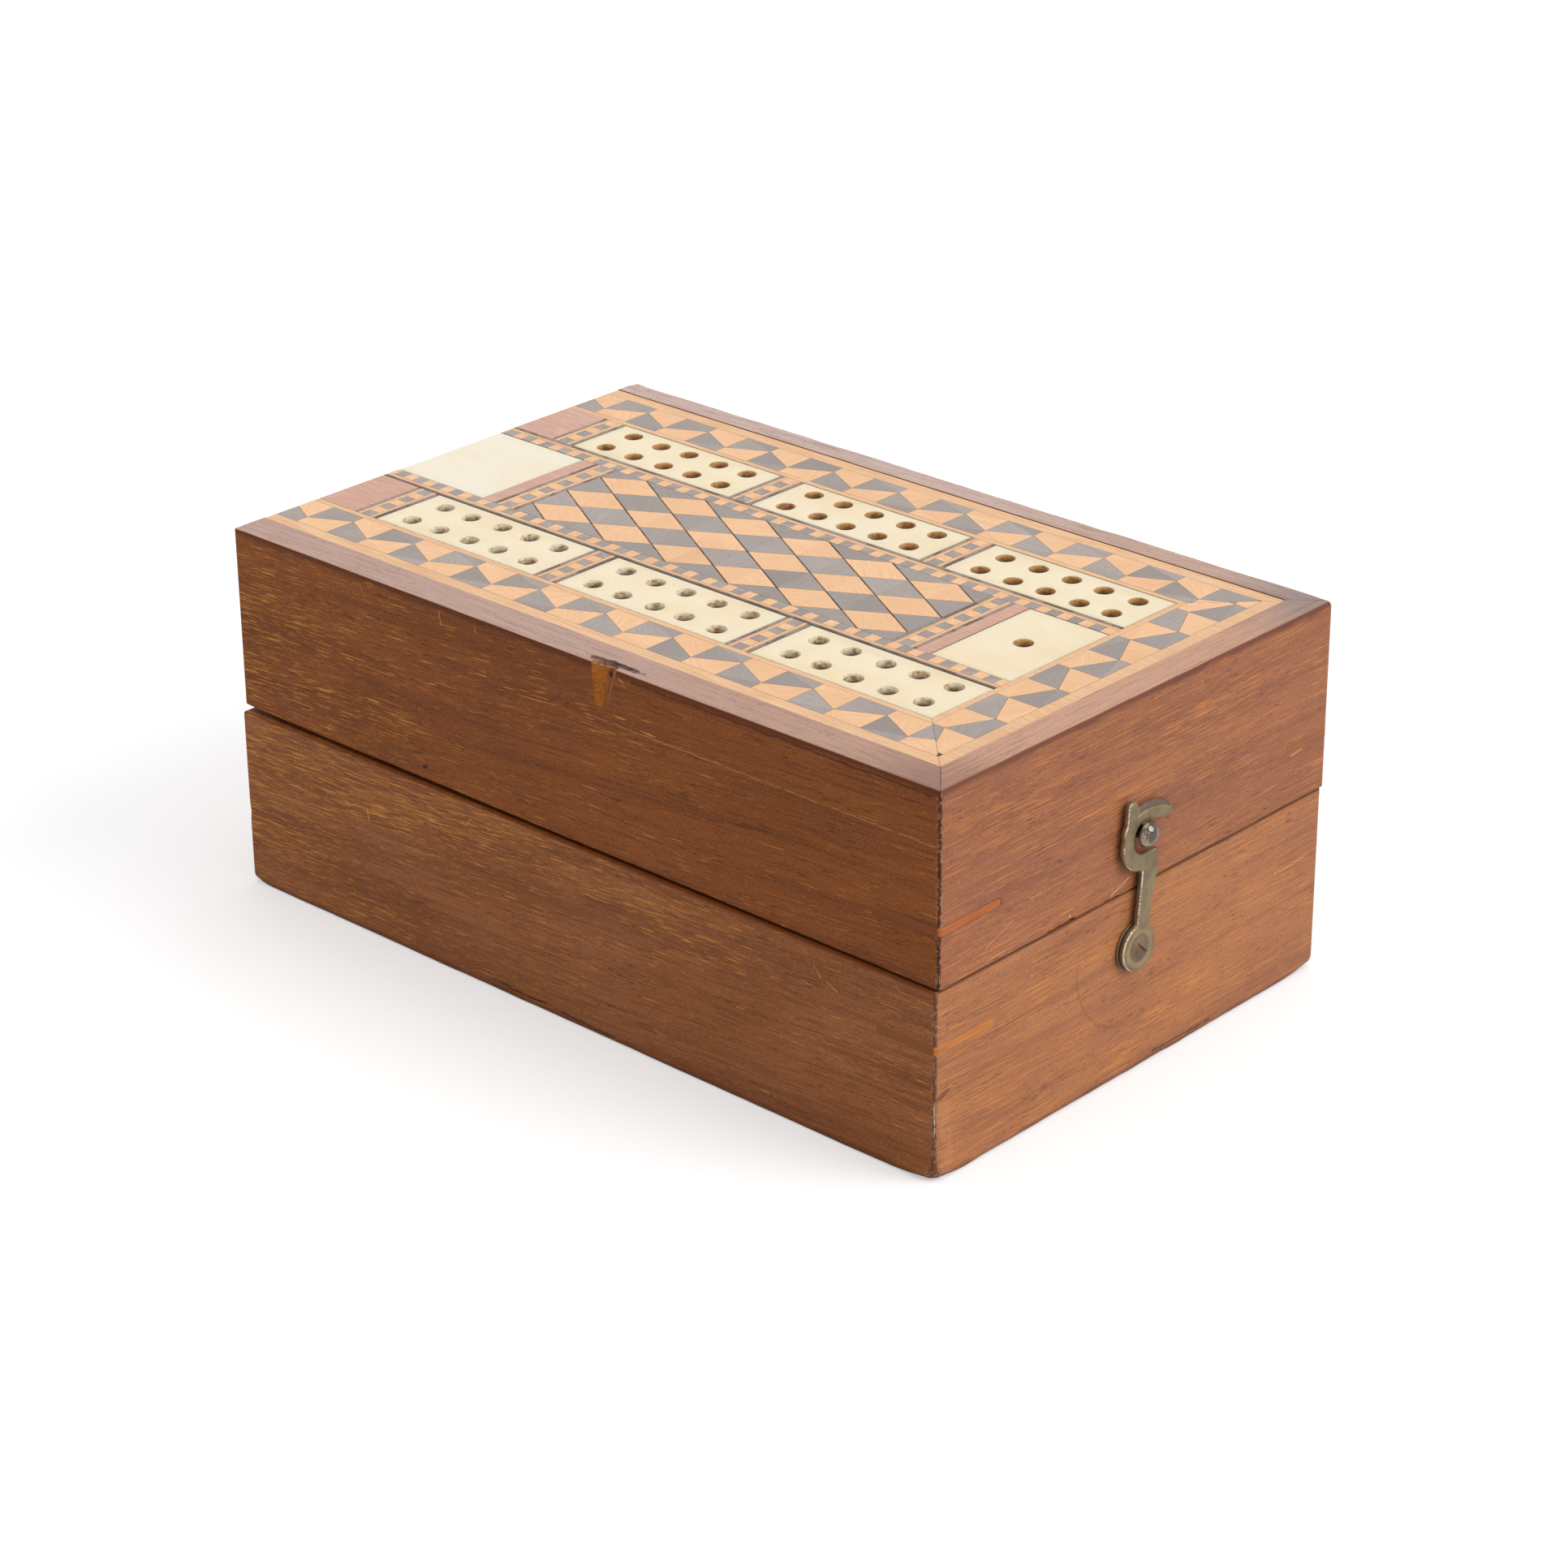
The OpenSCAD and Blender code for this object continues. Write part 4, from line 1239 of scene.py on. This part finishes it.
@dataclass
class Case:
    """One half of the box: three worn walls and the hinge wall."""

    half: Half
    woods: dict[Side, CaseWood]
    hinge_wood: CaseWood
    chips: tuple[Chip, ...]
    seed: int
    gouge: Gouge | None = None
    hinge_corner: float = 0.0
    foot_corner: float = 0.0
    joint: float = 0.02
    fine: dict[Side, tuple[Span, ...]] = field(default_factory=dict)

    def build(self) -> None:
        """Rebuilds the three worn walls and dresses the hinge wall."""
        name = self.half.value
        low, high = (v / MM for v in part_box(f"{name}_front_wall"))
        latch_low, latch_high = (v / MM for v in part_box(f"{name}_latch_wall"))
        back_low, back_high = (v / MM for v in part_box(f"{name}_back_wall"))
        mirrored = self.half is Half.BASE
        place = Placing(mirrored, high.z if mirrored else low.z, (low.y + back_high.y) / 2)
        shape = CaseShape(
            length=latch_high.x - low.x,
            width=back_high.y - low.y,
            height=high.z - low.z,
            noise=Lattice(self.seed),
            chips=self.chips,
            gouge=self.gouge,
            hinge_corner=self.hinge_corner,
            foot_corner=self.foot_corner,
        )
        latch = latch_high.x - latch_low.x
        front, back = high.y - low.y, back_high.y - back_low.y
        sizes = {
            Side.FRONT: (front, (latch, latch)),
            Side.BACK: (back, (latch, latch)),
            Side.LATCH: (latch, (front, back)),
        }
        for side, wood in self.woods.items():
            thickness, meets = sizes[side]
            fine = self.fine.get(side, ())
            WornWall(self.half, side, shape, thickness, meets, wood, fine, self.joint).build(place)
            log.info("%s %s: rebuilt with worn edges", name, side.value)
        dress(f"{name}_hinge_wall", self.hinge_wood.build(), 0.5)
        log.info("%s hinge wall: dressed", name)


def add_piece(
    name: str, body: str, points: list[Point], faces: list[list[int]]
) -> bpy.types.Object:
    """Adds a mesh to the scene and puts it on its body.

    Args:
        name: The piece's name.
        body: The body that it rides.
        points: Its corners, in millimetres.
        faces: The corners round each face.

    Returns:
        The piece.
    """
    mesh = bpy.data.meshes.new(name)
    mesh.from_pydata([Vector(point) * MM for point in points], [], faces)
    piece = stand(name, mesh)
    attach(piece, body)
    return piece


@dataclass
class MitreKeys:
    """The two slips let into the mitres of one case, rounded off with its corners."""

    half: Half
    wood: KeyWood
    along_side: float = 13.7
    along_end: float = 15.7
    back_share: float = 0.84
    corner: float = 1.06
    turns: int = 6
    sharp: float = 40.0

    def plan(self, share: float) -> list[tuple[float, float]]:
        """Outline of one slip.

        Args:
            share: The slip's size beside that of the front one.

        Returns:
            Distances from the end and from the side of the case, once round.
        """
        flat = self.corner + 0.1
        found = [(self.along_side * share, 0.0), (flat, 0.0)]
        for step in range(self.turns + 1):
            angle = math.pi / 2 * step / self.turns
            found.append((self.corner * (1 - math.sin(angle)), self.corner * (1 - math.cos(angle))))
        return [*found, (0.0, flat), (0.0, self.along_end * share)]

    def build(self) -> None:
        """Makes both slips as one piece in place of the sharp ones."""
        node = f"{self.half.value}_mitre_keys"
        low, high = (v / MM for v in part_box(node))
        points: list[Point] = []
        faces: list[list[int]] = []
        for side, share, way in ((low.y, 1.0, 1), (high.y, self.back_share, -1)):
            plan = self.plan(share)
            start, count = len(points), len(plan)
            for z in (low.z, high.z):
                points += [(high.x - end, side + way * off, z) for end, off in plan]
            under = list(range(start, start + count))
            over = [n + count for n in under]
            walls = [[under[n], under[n - 1], over[n - 1], over[n]] for n in range(count)]
            made = [under, over[::-1], *walls]
            faces += made if way == -1 else [face[::-1] for face in made]
        keys = add_piece(f"worn_{node}", self.half.value, points, faces)
        smooth(keys.data, self.sharp)
        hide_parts(node)
        dress(keys.name, self.wood.build(), 0.02)


@dataclass
class GlueBed:
    """Old glue and dirt in the joints of the veneers and the mitres, just under the surface."""

    wood: InlayWood
    spans: tuple[tuple[float, float, float, float], ...]
    sunk: float = 0.1
    deep: float = 0.3
    mitre_share: Span = (0.2, 0.97, 0.08)
    mitre_sunk: tuple[float, float] = (0.3, 3.0)

    def mitres(self, half: Half) -> list[list[tuple[float, float]]]:
        """Outlines of the glue in the two mitres of a case.

        Args:
            half: The case.

        Returns:
            For each mitre, the four corners of a thin strip along it.
        """
        inner_x, outer_x = (v.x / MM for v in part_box(f"{half.value}_latch_wall"))
        front, front_in = (v.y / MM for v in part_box(f"{half.value}_front_wall"))
        back_in, back = (v.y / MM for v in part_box(f"{half.value}_back_wall"))
        first, last, wide = self.mitre_share
        found = []
        for outer_y, inner_y in ((front, front_in), (back, back_in)):
            corner = Vector((outer_x, outer_y))
            line = Vector((inner_x, inner_y)) - corner
            aside = Vector((-line.y, line.x)).normalized() * wide
            start, end = corner + line * first, corner + line * last
            strip = (start + aside, start - aside, end - aside, end + aside)
            found.append([tuple(point) for point in strip])
        return found

    def build(self, half: Half, finish: bpy.types.Material) -> None:
        """Lays thin sheets under one board and in the case's mitres.

        Args:
            half: The case that carries the board.
            finish: The glue's finish.
        """
        low, high = (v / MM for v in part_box(f"{half.value}_light_strings"))
        top = high.z - self.sunk if half is Half.LID else low.z + self.sunk + self.deep
        sheets = []
        for x0, y0, x1, y1 in self.spans:
            plan = [(low.x + x, low.y + y) for x, y in ((x0, y0), (x1, y0), (x1, y1), (x0, y1))]
            sheets.append((plan, top - self.deep, top))
        foot, head = (v.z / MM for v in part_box(f"{half.value}_latch_wall"))
        under, over = self.mitre_sunk if half is Half.LID else self.mitre_sunk[::-1]
        sheets += [(plan, foot + under, head - over) for plan in self.mitres(half)]
        points: list[Point] = []
        faces: list[list[int]] = []
        for plan, under, over in sheets:
            n = len(points)
            for z in (under, over):
                points += [(x, y, z) for x, y in plan]
            faces += [[n + 3, n + 2, n + 1, n], [n + 4, n + 5, n + 6, n + 7]]
            faces += [[n + k, n + (k + 1) % 4, n + 4 + (k + 1) % 4, n + 4 + k] for k in range(4)]
        sheet = add_piece(f"{half.value}_glue", half.value, points, faces)
        sheet.data.materials.append(finish)


@dataclass
class Joinery:
    """The slips across the mitres, and the ground and glue that carry each board."""

    keys: tuple[MitreKeys, ...]
    ground: InlayWood
    glue: GlueBed

    def build(self) -> None:
        """Makes the slips and the glue, and dresses the grounds."""
        bed, glue = self.ground.build(), self.glue.wood.build()
        for keys in self.keys:
            keys.build()
            self.glue.build(keys.half, glue)
            dress(f"{keys.half.value}_ground", bed, 0.15)
        log.info("mitre keys, glue and grounds: ready")


@dataclass
class Board:
    """The parquetry and bone of both halves, kept from the CAD."""

    bone: Bone = Bone()
    pale_bone: Bone = Bone("pale_bone", paint(248, 234, 212), paint(242, 222, 190), seed=9.0)
    light: InlayWood = InlayWood(
        "light_veneer", paint(246, 198, 152), paint(228, 174, 126), paint(200, 142, 96), seed=5.0
    )
    string: InlayWood = InlayWood(
        "light_string", paint(240, 196, 150), paint(218, 166, 122), paint(184, 130, 90),
        seed=8.0, figure=0.7, turned=False,
    )
    # The dark veneer's grey body is its dark brown with a painted sheen of the overhead light.
    dark: InlayWood = InlayWood(
        "dark_veneer", paint(172, 160, 153), paint(138, 126, 120), paint(112, 98, 90),
        seed=11.0, figure=0.22, vary=0.7,
    )
    rule: InlayWood = InlayWood(
        "dark_rule", paint(168, 148, 134), paint(128, 104, 90), paint(58, 40, 30),
        seed=17.0, figure=0.6, turned=False, vary=0.4, soil=0.75, crack_at=-16.1,
    )
    red: InlayWood = InlayWood(
        "red_veneer", paint(218, 174, 154), paint(192, 142, 122), paint(164, 110, 92),
        seed=14.0, figure=0.7, turned=False,
    )

    def build(self) -> None:
        """Dresses every piece of the two boards."""
        bone, pale_bone = self.bone.build(), self.pale_bone.build()
        light, string = self.light.build(), self.string.build()
        dark, rule, red = self.dark.build(), self.rule.build(), self.red.build()
        finishes = {
            "peg_plates": (bone, 0.14),
            "game_plate": (bone, 0.14),
            "blank_plates": (pale_bone, 0.14),
            "light_kites": (light, 0.03),
            "light_squares": (light, 0.03),
            "light_rhombs": (light, 0.05),
            "light_strings": (string, 0.03),
            "light_lines": (string, 0.03),
            "dark_kites": (dark, 0.03),
            "dark_squares": (dark, 0.03),
            "dark_rhombs": (dark, 0.05),
            "dark_lines": (rule, 0.03),
            "red_blocks": (red, 0.03),
        }
        for half in Half:
            for piece, (finish, soft) in finishes.items():
                dress(f"{half.value}_{piece}", finish, soft)
            log.info("%s board: dressed", half.value)


@dataclass(frozen=True)
class BeakBack:
    """The sloped upper side of the hook's beak, which rises towards the wall, in millimetres."""

    brass: AgedBrass
    pivot: Point = PIVOT
    middle: tuple[float, float] = (1.6, 13.85)
    radius: float = 14.0
    start: float = -13.0
    knee: float = 24.0
    end: float = 34.0
    rise: float = 0.8
    section: tuple[tuple[float, float], ...] = (
        (-0.7, 1.36), (0.0, 1.38), (0.86, 0.76), (1.0, 0.6), (-0.7, 0.6),
    )
    count: int = 28
    sharp: float = 50.0

    def ring(self, angle: float) -> list[Point]:
        """Section of the slope.

        Args:
            angle: Where along the beak, in degrees from its crown.

        Returns:
            The section's corners.
        """
        fade = min(1.0, (angle - self.start) / 5.0)
        late = max(0.0, (angle - self.knee) / (self.end - self.knee))
        tall = self.rise * fade * math.sqrt(1.0 - late**2) - 0.35 * late**2
        found = []
        for share, out in self.section:
            reach = self.radius + (share * tall if share > 0 else share - 0.35 * late**2)
            across = self.middle[0] + reach * math.sin(math.radians(angle))
            up = self.middle[1] + reach * math.cos(math.radians(angle))
            found.append((self.pivot[0] + out, self.pivot[1] + across, self.pivot[2] + up))
        return found

    def build(self) -> None:
        """Lofts the slope along the beak and lets it swing with the hook."""
        step = (self.end - self.start) / self.count
        angles = [self.start + n * step for n in range(self.count + 1)]
        points = [corner for angle in angles for corner in self.ring(angle)]
        around = len(self.section)
        faces = [list(range(around)), list(range(len(points) - 1, len(points) - 1 - around, -1))]
        for n in range(self.count):
            for k in range(around):
                a, b = n * around + k, n * around + (k + 1) % around
                faces.append([a, a + around, b + around, b])
        slope = add_piece("hook_beak_back", "hook", points, faces)
        slope.data.materials.append(self.brass.build())
        smooth(slope.data, self.sharp)


@dataclass
class Fittings:
    """The brass hook, its screw, washer and stud, and the hinges at the other end."""

    # The third colour of each brass is its painted bevel highlight.
    hook: AgedBrass = AgedBrass(
        "hook_brass", paint(140, 123, 89), paint(106, 92, 66), paint(238, 218, 206),
        seed=2.0, ring=(*PIVOT[1:], 3.3),
    )
    screw: AgedBrass = AgedBrass(
        "screw_brass", paint(124, 98, 74), paint(86, 66, 50), paint(150, 124, 100),
        seed=4.0, rough=0.6, metal=0.15,
    )
    stud: AgedBrass = AgedBrass(
        "stud_brass", paint(84, 74, 58), paint(58, 50, 40), paint(170, 152, 132),
        seed=6.0, rough=0.17, metal=0.9, pitted=0.01, coat=0.8,
    )
    # The beak's sloped back takes a darker copy of the hook's brass: painted shade.
    beak: BeakBack = BeakBack(
        AgedBrass(
            "beak_shaded_brass", paint(102, 86, 67), paint(72, 58, 45), paint(190, 170, 140),
            seed=2.0, metal=0.2,
        )
    )
    hinge: AgedBrass = AgedBrass(
        "hinge_brass", paint(150, 126, 78), paint(112, 92, 58), paint(214, 188, 130), seed=8.0
    )

    def build(self) -> None:
        """Dresses every fitting."""
        hinge, screw = self.hinge.build(), self.screw.build()
        dress("hook", self.hook.build(), 0.5, 4, True)
        self.beak.build()
        dress("hook_washer", screw, 0.12)
        dress("hook_screw", screw, 0.08)
        dress("catch_stud", self.stud.build(), 0.2, 3)
        for name in ("leaves_base", "leaves_lid", "pins", "screws_base", "screws_lid"):
            dress(f"hinge_{name}", hinge, 0.12)
        log.info("fittings: dressed")


def seen_directly(tree: bpy.types.NodeTree) -> Socket:
    """One where the camera, a reflection or a clear piece sees the background, and else nought.

    Args:
        tree: The nodes to add to.

    Returns:
        The finished number.
    """
    path = tree.nodes.new("ShaderNodeLightPath")
    total = path.outputs["Is Camera Ray"]
    for name in ("Is Glossy Ray", "Is Transmission Ray"):
        most = tree.nodes.new("ShaderNodeMath")
        most.operation = "MAXIMUM"
        tree.links.new(total, most.inputs[0])
        tree.links.new(path.outputs[name], most.inputs[1])
        total = most.outputs[0]
    return total


@dataclass
class Studio:
    """White floor, soft light and the camera's place, found from the box's corners in the photo."""

    azimuth: float = 42.75
    elevation: float = 25.13
    roll: float = -0.436
    distance: float = 841.4
    shift: tuple[float, float] = (2.48, 27.7)
    lens: float = 96.15
    sky: float = 0.4
    key: float = 1.5
    key_from: Point = (0.736, 0.348, 0.581)
    key_spread: float = 40.0
    top: float = 1.1
    top_spread: float = 60.0
    sensor: float = 36.0
    floor_size: float = 3.0
    floor_lift: float = 0.42
    floor_tones: tuple[float, float] = (0.69, 0.71)

    def build(self) -> None:
        """Sets the camera, the light and the floor."""
        self._camera()
        self._sun("right lamp", self.key_from, self.key_spread, self.key)
        self._sun("top lamp", (0.0, 0.0, 1.0), self.top_spread, self.top)
        self._room()
        self._floor()
        bpy.context.scene.view_settings.view_transform = "Standard"
        log.info("studio: ready")

    def _camera(self) -> None:
        """Stands the camera where the photo was taken from."""
        a, e, roll = (math.radians(v) for v in (self.azimuth, self.elevation, self.roll))
        back = Vector((math.sin(a) * math.cos(e), -math.cos(a) * math.cos(e), math.sin(e)))
        right = Vector((0, 0, 1)).cross(back).normalized()
        up = back.cross(right)
        side = math.cos(roll) * right + math.sin(roll) * up
        rise = -math.sin(roll) * right + math.cos(roll) * up
        spot = (self.distance * back + self.shift[0] * side + self.shift[1] * rise) * MM
        data = bpy.data.cameras.new("camera")
        data.lens = self.lens
        data.sensor_width = self.sensor
        data.clip_start = 0.01
        camera = stand("camera", data)
        turn = Matrix((side, rise, back)).transposed().to_4x4()
        camera.matrix_world = Matrix.Translation(spot) @ turn
        bpy.context.scene.camera = camera

    def _sun(self, name: str, come_from: Point, spread: float, strength: float) -> None:
        """Lights the box evenly from one side.

        Args:
            name: The lamp's name.
            come_from: Where its light comes from.
            spread: How wide the light is, in degrees.
            strength: How strong it is.
        """
        data = bpy.data.lights.new(name, "SUN")
        data.angle = math.radians(spread)
        data.energy = strength
        lamp = stand(name, data)
        lamp.location = come_from
        lamp.rotation_euler = Vector(come_from).to_track_quat("Z", "Y").to_euler()

    def _room(self) -> None:
        """Lights the room evenly, and shows it white."""
        world = bpy.data.worlds.new("room")
        bpy.context.scene.world = world
        world.use_nodes = True
        tree = world.node_tree
        sky = tree.nodes["Background"]
        sky.inputs["Color"].default_value = WHITE
        glow = tree.nodes.new("ShaderNodeMapRange")
        tree.links.new(seen_directly(tree), glow.inputs[0])
        glow.inputs[3].default_value = self.sky
        glow.inputs[4].default_value = 1.0
        tree.links.new(glow.outputs[0], sky.inputs["Strength"])

    def _floor(self) -> None:
        """Lays a white floor under the box."""
        mesh = bpy.data.meshes.new("floor")
        s = self.floor_size
        mesh.from_pydata([(-s, -s, 0), (s, -s, 0), (s, s, 0), (-s, s, 0)], [], [(0, 1, 2, 3)])
        r = Recipe("white_floor")
        mottle = r.noise(r.place, (240, 240, 240), 1.0)
        dull, clear = ((tone, tone, tone, 1) for tone in self.floor_tones)
        mesh.materials.append(r.finish(r.mix(mottle, dull, clear), 0.9, 0.1))
        r.skin.inputs["Emission Color"].default_value = WHITE
        lift = r.times(seen_directly(r.tree), self.floor_lift)
        r.feed(r.skin.inputs["Emission Strength"], lift)
        floor = stand("floor", mesh)


def front_wood(
    half: Half,
    name: str,
    seed: float,
    streaks: Span,
    marks: tuple[Mark, ...] = (),
    top: Colour = paint(190, 159, 146),
) -> CaseWood:
    """Dark brown wood of the long walls, with golden pore streaks.

    Args:
        half: The case that the wall is part of.
        name: The finish's name.
        seed: Shifts its pattern.
        streaks: How many golden streaks it has, and how many more to the left and higher up.
        marks: Its cracks and scratches.
        top: Colour of its outer edge, greyed by a painted reflection of the bright room.

    Returns:
        The wood.
    """
    lid = half is Half.LID
    amount, left, high = streaks
    return CaseWood(
        name,
        Grain.LENGTHWISE,
        seed,
        edge_at=BOX_TOP if lid else 0.0,
        heart=paint(147, 82, 33) if lid else paint(162, 98, 54),
        warm=paint(156, 88, 41) if lid else paint(172, 107, 65),
        dusk=paint(116, 60, 28) if lid else paint(130, 74, 40),
        streak=paint(220, 150, 66),
        streaks=amount,
        streak_left=left,
        streak_high=high,
        streak_size=(7.5, 0.28, 0.28),
        streak_cover=0.85 if lid else 1.0,
        slope=0.05,
        top=top,
        corner=paint(78, 46, 32) if lid else paint(112, 72, 52),
        scuff=None if lid else SCUFF_TALL,
        # Seam colours: painted shade of the gap between the cases, with dirt; darkest on the lid.
        lip=paint(44, 24, 16) if lid else paint(126, 66, 28),
        marks=marks,
        sheen=0.1,
    )


def end_wood(
    half: Half, name: str, seed: float, marks: tuple[Mark, ...] = (), ring: Span | None = None
) -> CaseWood:
    """Redder, lighter wood of the short walls.

    Args:
        half: The case that the wall is part of.
        name: The finish's name.
        seed: Shifts its pattern.
        marks: Its cracks and scratches.
        ring: Middle, height and radius of the ring that the hook has rubbed.

    Returns:
        The wood.
    """
    lid = half is Half.LID
    return CaseWood(
        name,
        Grain.CROSSWISE,
        seed,
        edge_at=BOX_TOP if lid else 0.0,
        heart=paint(161, 99, 68) if lid else paint(174, 111, 74),
        warm=paint(170, 106, 72) if lid else paint(186, 121, 78),
        dusk=paint(138, 82, 60) if lid else paint(146, 90, 62),
        streak=paint(226, 148, 70),
        streaks=0.14 if lid else 0.18,
        streak_size=(12.0, 0.2, 0.2),
        streak_cover=0.62,
        fibre_cover=0.34,
        band_cover=0.45,
        # The rim's top colours hold a painted reflection of the bright room that greys the wood.
        top=paint(201, 156, 130),
        top_sheen_dusk=paint(166, 120, 98),
        corner=paint(78, 46, 32) if lid else paint(112, 72, 52),
        scuff=None if lid else SCUFF_TALL,
        seam_shade_and_dirt=0.3,
        edge_darkening=1.0,
        marks=marks,
        ring=ring,
        sheen=0.2,
    )


LID_FRONT_MARKS = (
    Mark((5.5, 66.5), (91.0, 66.6), 0.14, GOLD, 0.5, 0.35),
    Mark((-39.2, 41.8), (-38.6, 42.0), 0.6, SOOT, 0.9, 0.2),
    Mark((-33.0, 76.0), (-32.5, 73.4), 0.16, GOLD, 0.7, 0.2),
    Mark((-23.3, 75.8), (-22.9, 74.4), 0.16, GOLD, 0.7, 0.5),
    Mark((-55.5, 75.8), (-54.1, 73.4), 0.12, GOLD, 0.5, 0.2),
    Mark((92.6, 51.2), (77.6, 51.1), 0.12, SOOT, 0.75, 0.1),
    Mark((8.0, 76.7), (10.0, 77.0), 0.2, SOOT, 0.9, 0.2),
    Mark((14.8, 75.9), (16.0, 75.6), 0.1, PALE, 0.8, 0.1),
    Mark((18.0, 76.2), (90.0, 76.0), 0.3, SOOT, 0.75, 0.6),
)
LID_END_MARKS = (
    Mark((-43.3, 42.6), (-36.2, 45.2), 0.14, PALE, 0.35, 0.2),
    Mark((-8.0, 39.6), (-2.7, 41.5), 0.16, PALE, 0.7, 0.2),
    Mark((-20.1, 40.6), (-19.4, 38.6), 0.2, PALE, 0.7, 0.2),
    Mark((46.3, 48.9), (49.6, 49.5), 0.5, GOLD, 0.6, 0.5),
    Mark((-44.0, 50.3), (-40.2, 50.3), 0.85, LID_KEY, 0.9, 0.05),
    Mark((-58.0, 50.3), (-40.2, 50.3), 0.85, SOOT, 0.7, 0.05, True),
)
BASE_FRONT_MARKS = (
    Mark((-21.0, 2.0), (12.0, 1.0), 0.3, SOOT, 0.85, 0.5),
    Mark((-55.8, 27.7), (-55.2, 25.3), 0.25, GOLD, 0.9, 0.4),
    Mark((-25.3, 35.4), (-27.3, 33.1), 0.14, GOLD, 0.7, 0.2),
    Mark((63.2, 34.3), (64.8, 32.4), 0.18, GOLD, 0.7, 0.4),
    Mark((66.4, 32.1), (69.0, 31.1), 0.18, GOLD, 0.7, 0.5),
)
BASE_END_MARKS = (
    Mark((6.0, 1.9), (23.5, 1.4), 0.28, SOOT, 0.8, 0.4),
    Mark((-54.5, 15.0), (-53.2, 4.0), 2.2, paint(200, 136, 88), 0.5, 1.4),
    Mark((-56.0, 17.4), (-53.4, 18.0), 0.7, RUST, 0.6, 0.9),
    Mark((42.6, 25.2), (53.1, 25.6), 0.3, GOLD, 0.7, 0.6),
    Mark((-44.0, 27.1), (-41.0, 27.1), 0.7, BASE_KEY, 0.9, 0.2),
)

LID = Case(
    Half.LID,
    woods={
        Side.FRONT: front_wood(
            Half.LID, "lid_front_wood", 21.0, (-0.05, 0.16, 0.0), LID_FRONT_MARKS
        ),
        Side.BACK: front_wood(
            # Paler rim top: more painted reflection of the bright room.
            Half.LID, "lid_back_wood", 25.0, (-0.05, 0.1, 0.0), top=paint(204, 180, 170)
        ),
        Side.LATCH: end_wood(Half.LID, "lid_end_wood", 29.0, LID_END_MARKS),
    },
    hinge_wood=end_wood(Half.LID, "lid_hinge_wood", 33.0),
    chips=(
        Chip((12.4, -54.7, 38.75), (6.6, 0.75, 0.7), dark=0.85),
        Chip((10.6, -56.0, 38.6), (3.0, 1.8, 0.8), fresh=0.5, dark=0.35),
        Chip((11.9, -55.6, 36.6), (1.0, 0.5, 0.9), dark=0.6),
        Chip((92.2, -22.5, -0.2), (0.7, 4.6, 0.8), fresh=0.9),
        Chip((92.3, -10.0, -0.2), (0.6, 4.0, 0.6), fresh=0.8),
        Chip((92.3, -57.3, 38.7), (1.0, 1.0, 1.1)),
        Chip((92.3, 30.0, 38.7), (0.5, 3.0, 0.4)),
    ),
    seed=7,
    gouge=Gouge(),
    hinge_corner=-0.45,
    joint=0.07,
    fine={Side.FRONT: ((2.0, 22.0, 0.16),), Side.LATCH: ((-28.0, -4.0, 0.3),)},
)

BASE = Case(
    Half.BASE,
    woods={
        Side.FRONT: front_wood(
            Half.BASE, "base_front_wood", 41.0, (0.12, 0.16, 0.2), BASE_FRONT_MARKS
        ),
        Side.BACK: front_wood(Half.BASE, "base_back_wood", 45.0, (-0.05, 0.1, 0.0)),
        Side.LATCH: end_wood(
            Half.BASE, "base_end_wood", 49.0, BASE_END_MARKS, (*PIVOT[1:], 16.0)
        ),
    },
    hinge_wood=end_wood(Half.BASE, "base_hinge_wood", 53.0),
    chips=(
        Chip((92.2, -57.2, 24.0), (0.55, 0.55, 3.2), fresh=0.5),
        Chip((92.5, -57.5, 14.0), (0.6, 0.6, 2.0)),
        Chip((-92.4, -57.6, 22.2), (1.1, 1.1, 4.0), 0.1),
        Chip((-4.0, -57.3, 38.8), (14.0, 0.7, 0.5)),
        Chip((92.4, 14.0, 38.8), (0.6, 8.0, 0.5)),
    ),
    seed=19,
    hinge_corner=1.5,
    foot_corner=1.7,
)

JOINERY = Joinery(
    keys=(
        MitreKeys(
            Half.BASE,
            KeyWood("base_key_wood", paint(146, 88, 46), BASE_KEY, paint(182, 116, 76), 63.0),
        ),
        MitreKeys(
            Half.LID,
            KeyWood("lid_key_wood", paint(136, 77, 36), LID_KEY, paint(170, 106, 70), 61.0),
        ),
    ),
    ground=InlayWood(
        "ground_wood", paint(186, 140, 98), paint(156, 110, 72), paint(112, 74, 46),
        seed=65.0, figure=0.8, turned=False,
    ),
    glue=GlueBed(
        InlayWood(
            "old_glue", paint(150, 116, 88), paint(92, 64, 46), paint(40, 26, 18),
            seed=67.0, figure=0.9, turned=False, vary=0.0, soil=0.8,
        ),
        (
            (0.1, 0.1, 177.0, 14.4),
            (0.1, 85.7, 177.0, 100.0),
            (162.6, 14.4, 177.0, 85.7),
            (24.7, 32.1, 143.1, 69.4),
        ),
    ),
)


def main() -> None:
    """Builds the box piece by piece."""
    logging.basicConfig(level=logging.INFO, format="%(message)s")
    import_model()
    for part in (BASE, LID, JOINERY, Board(), Fittings(), Studio()):
        part.build()


if __name__ == "__main__":
    main()
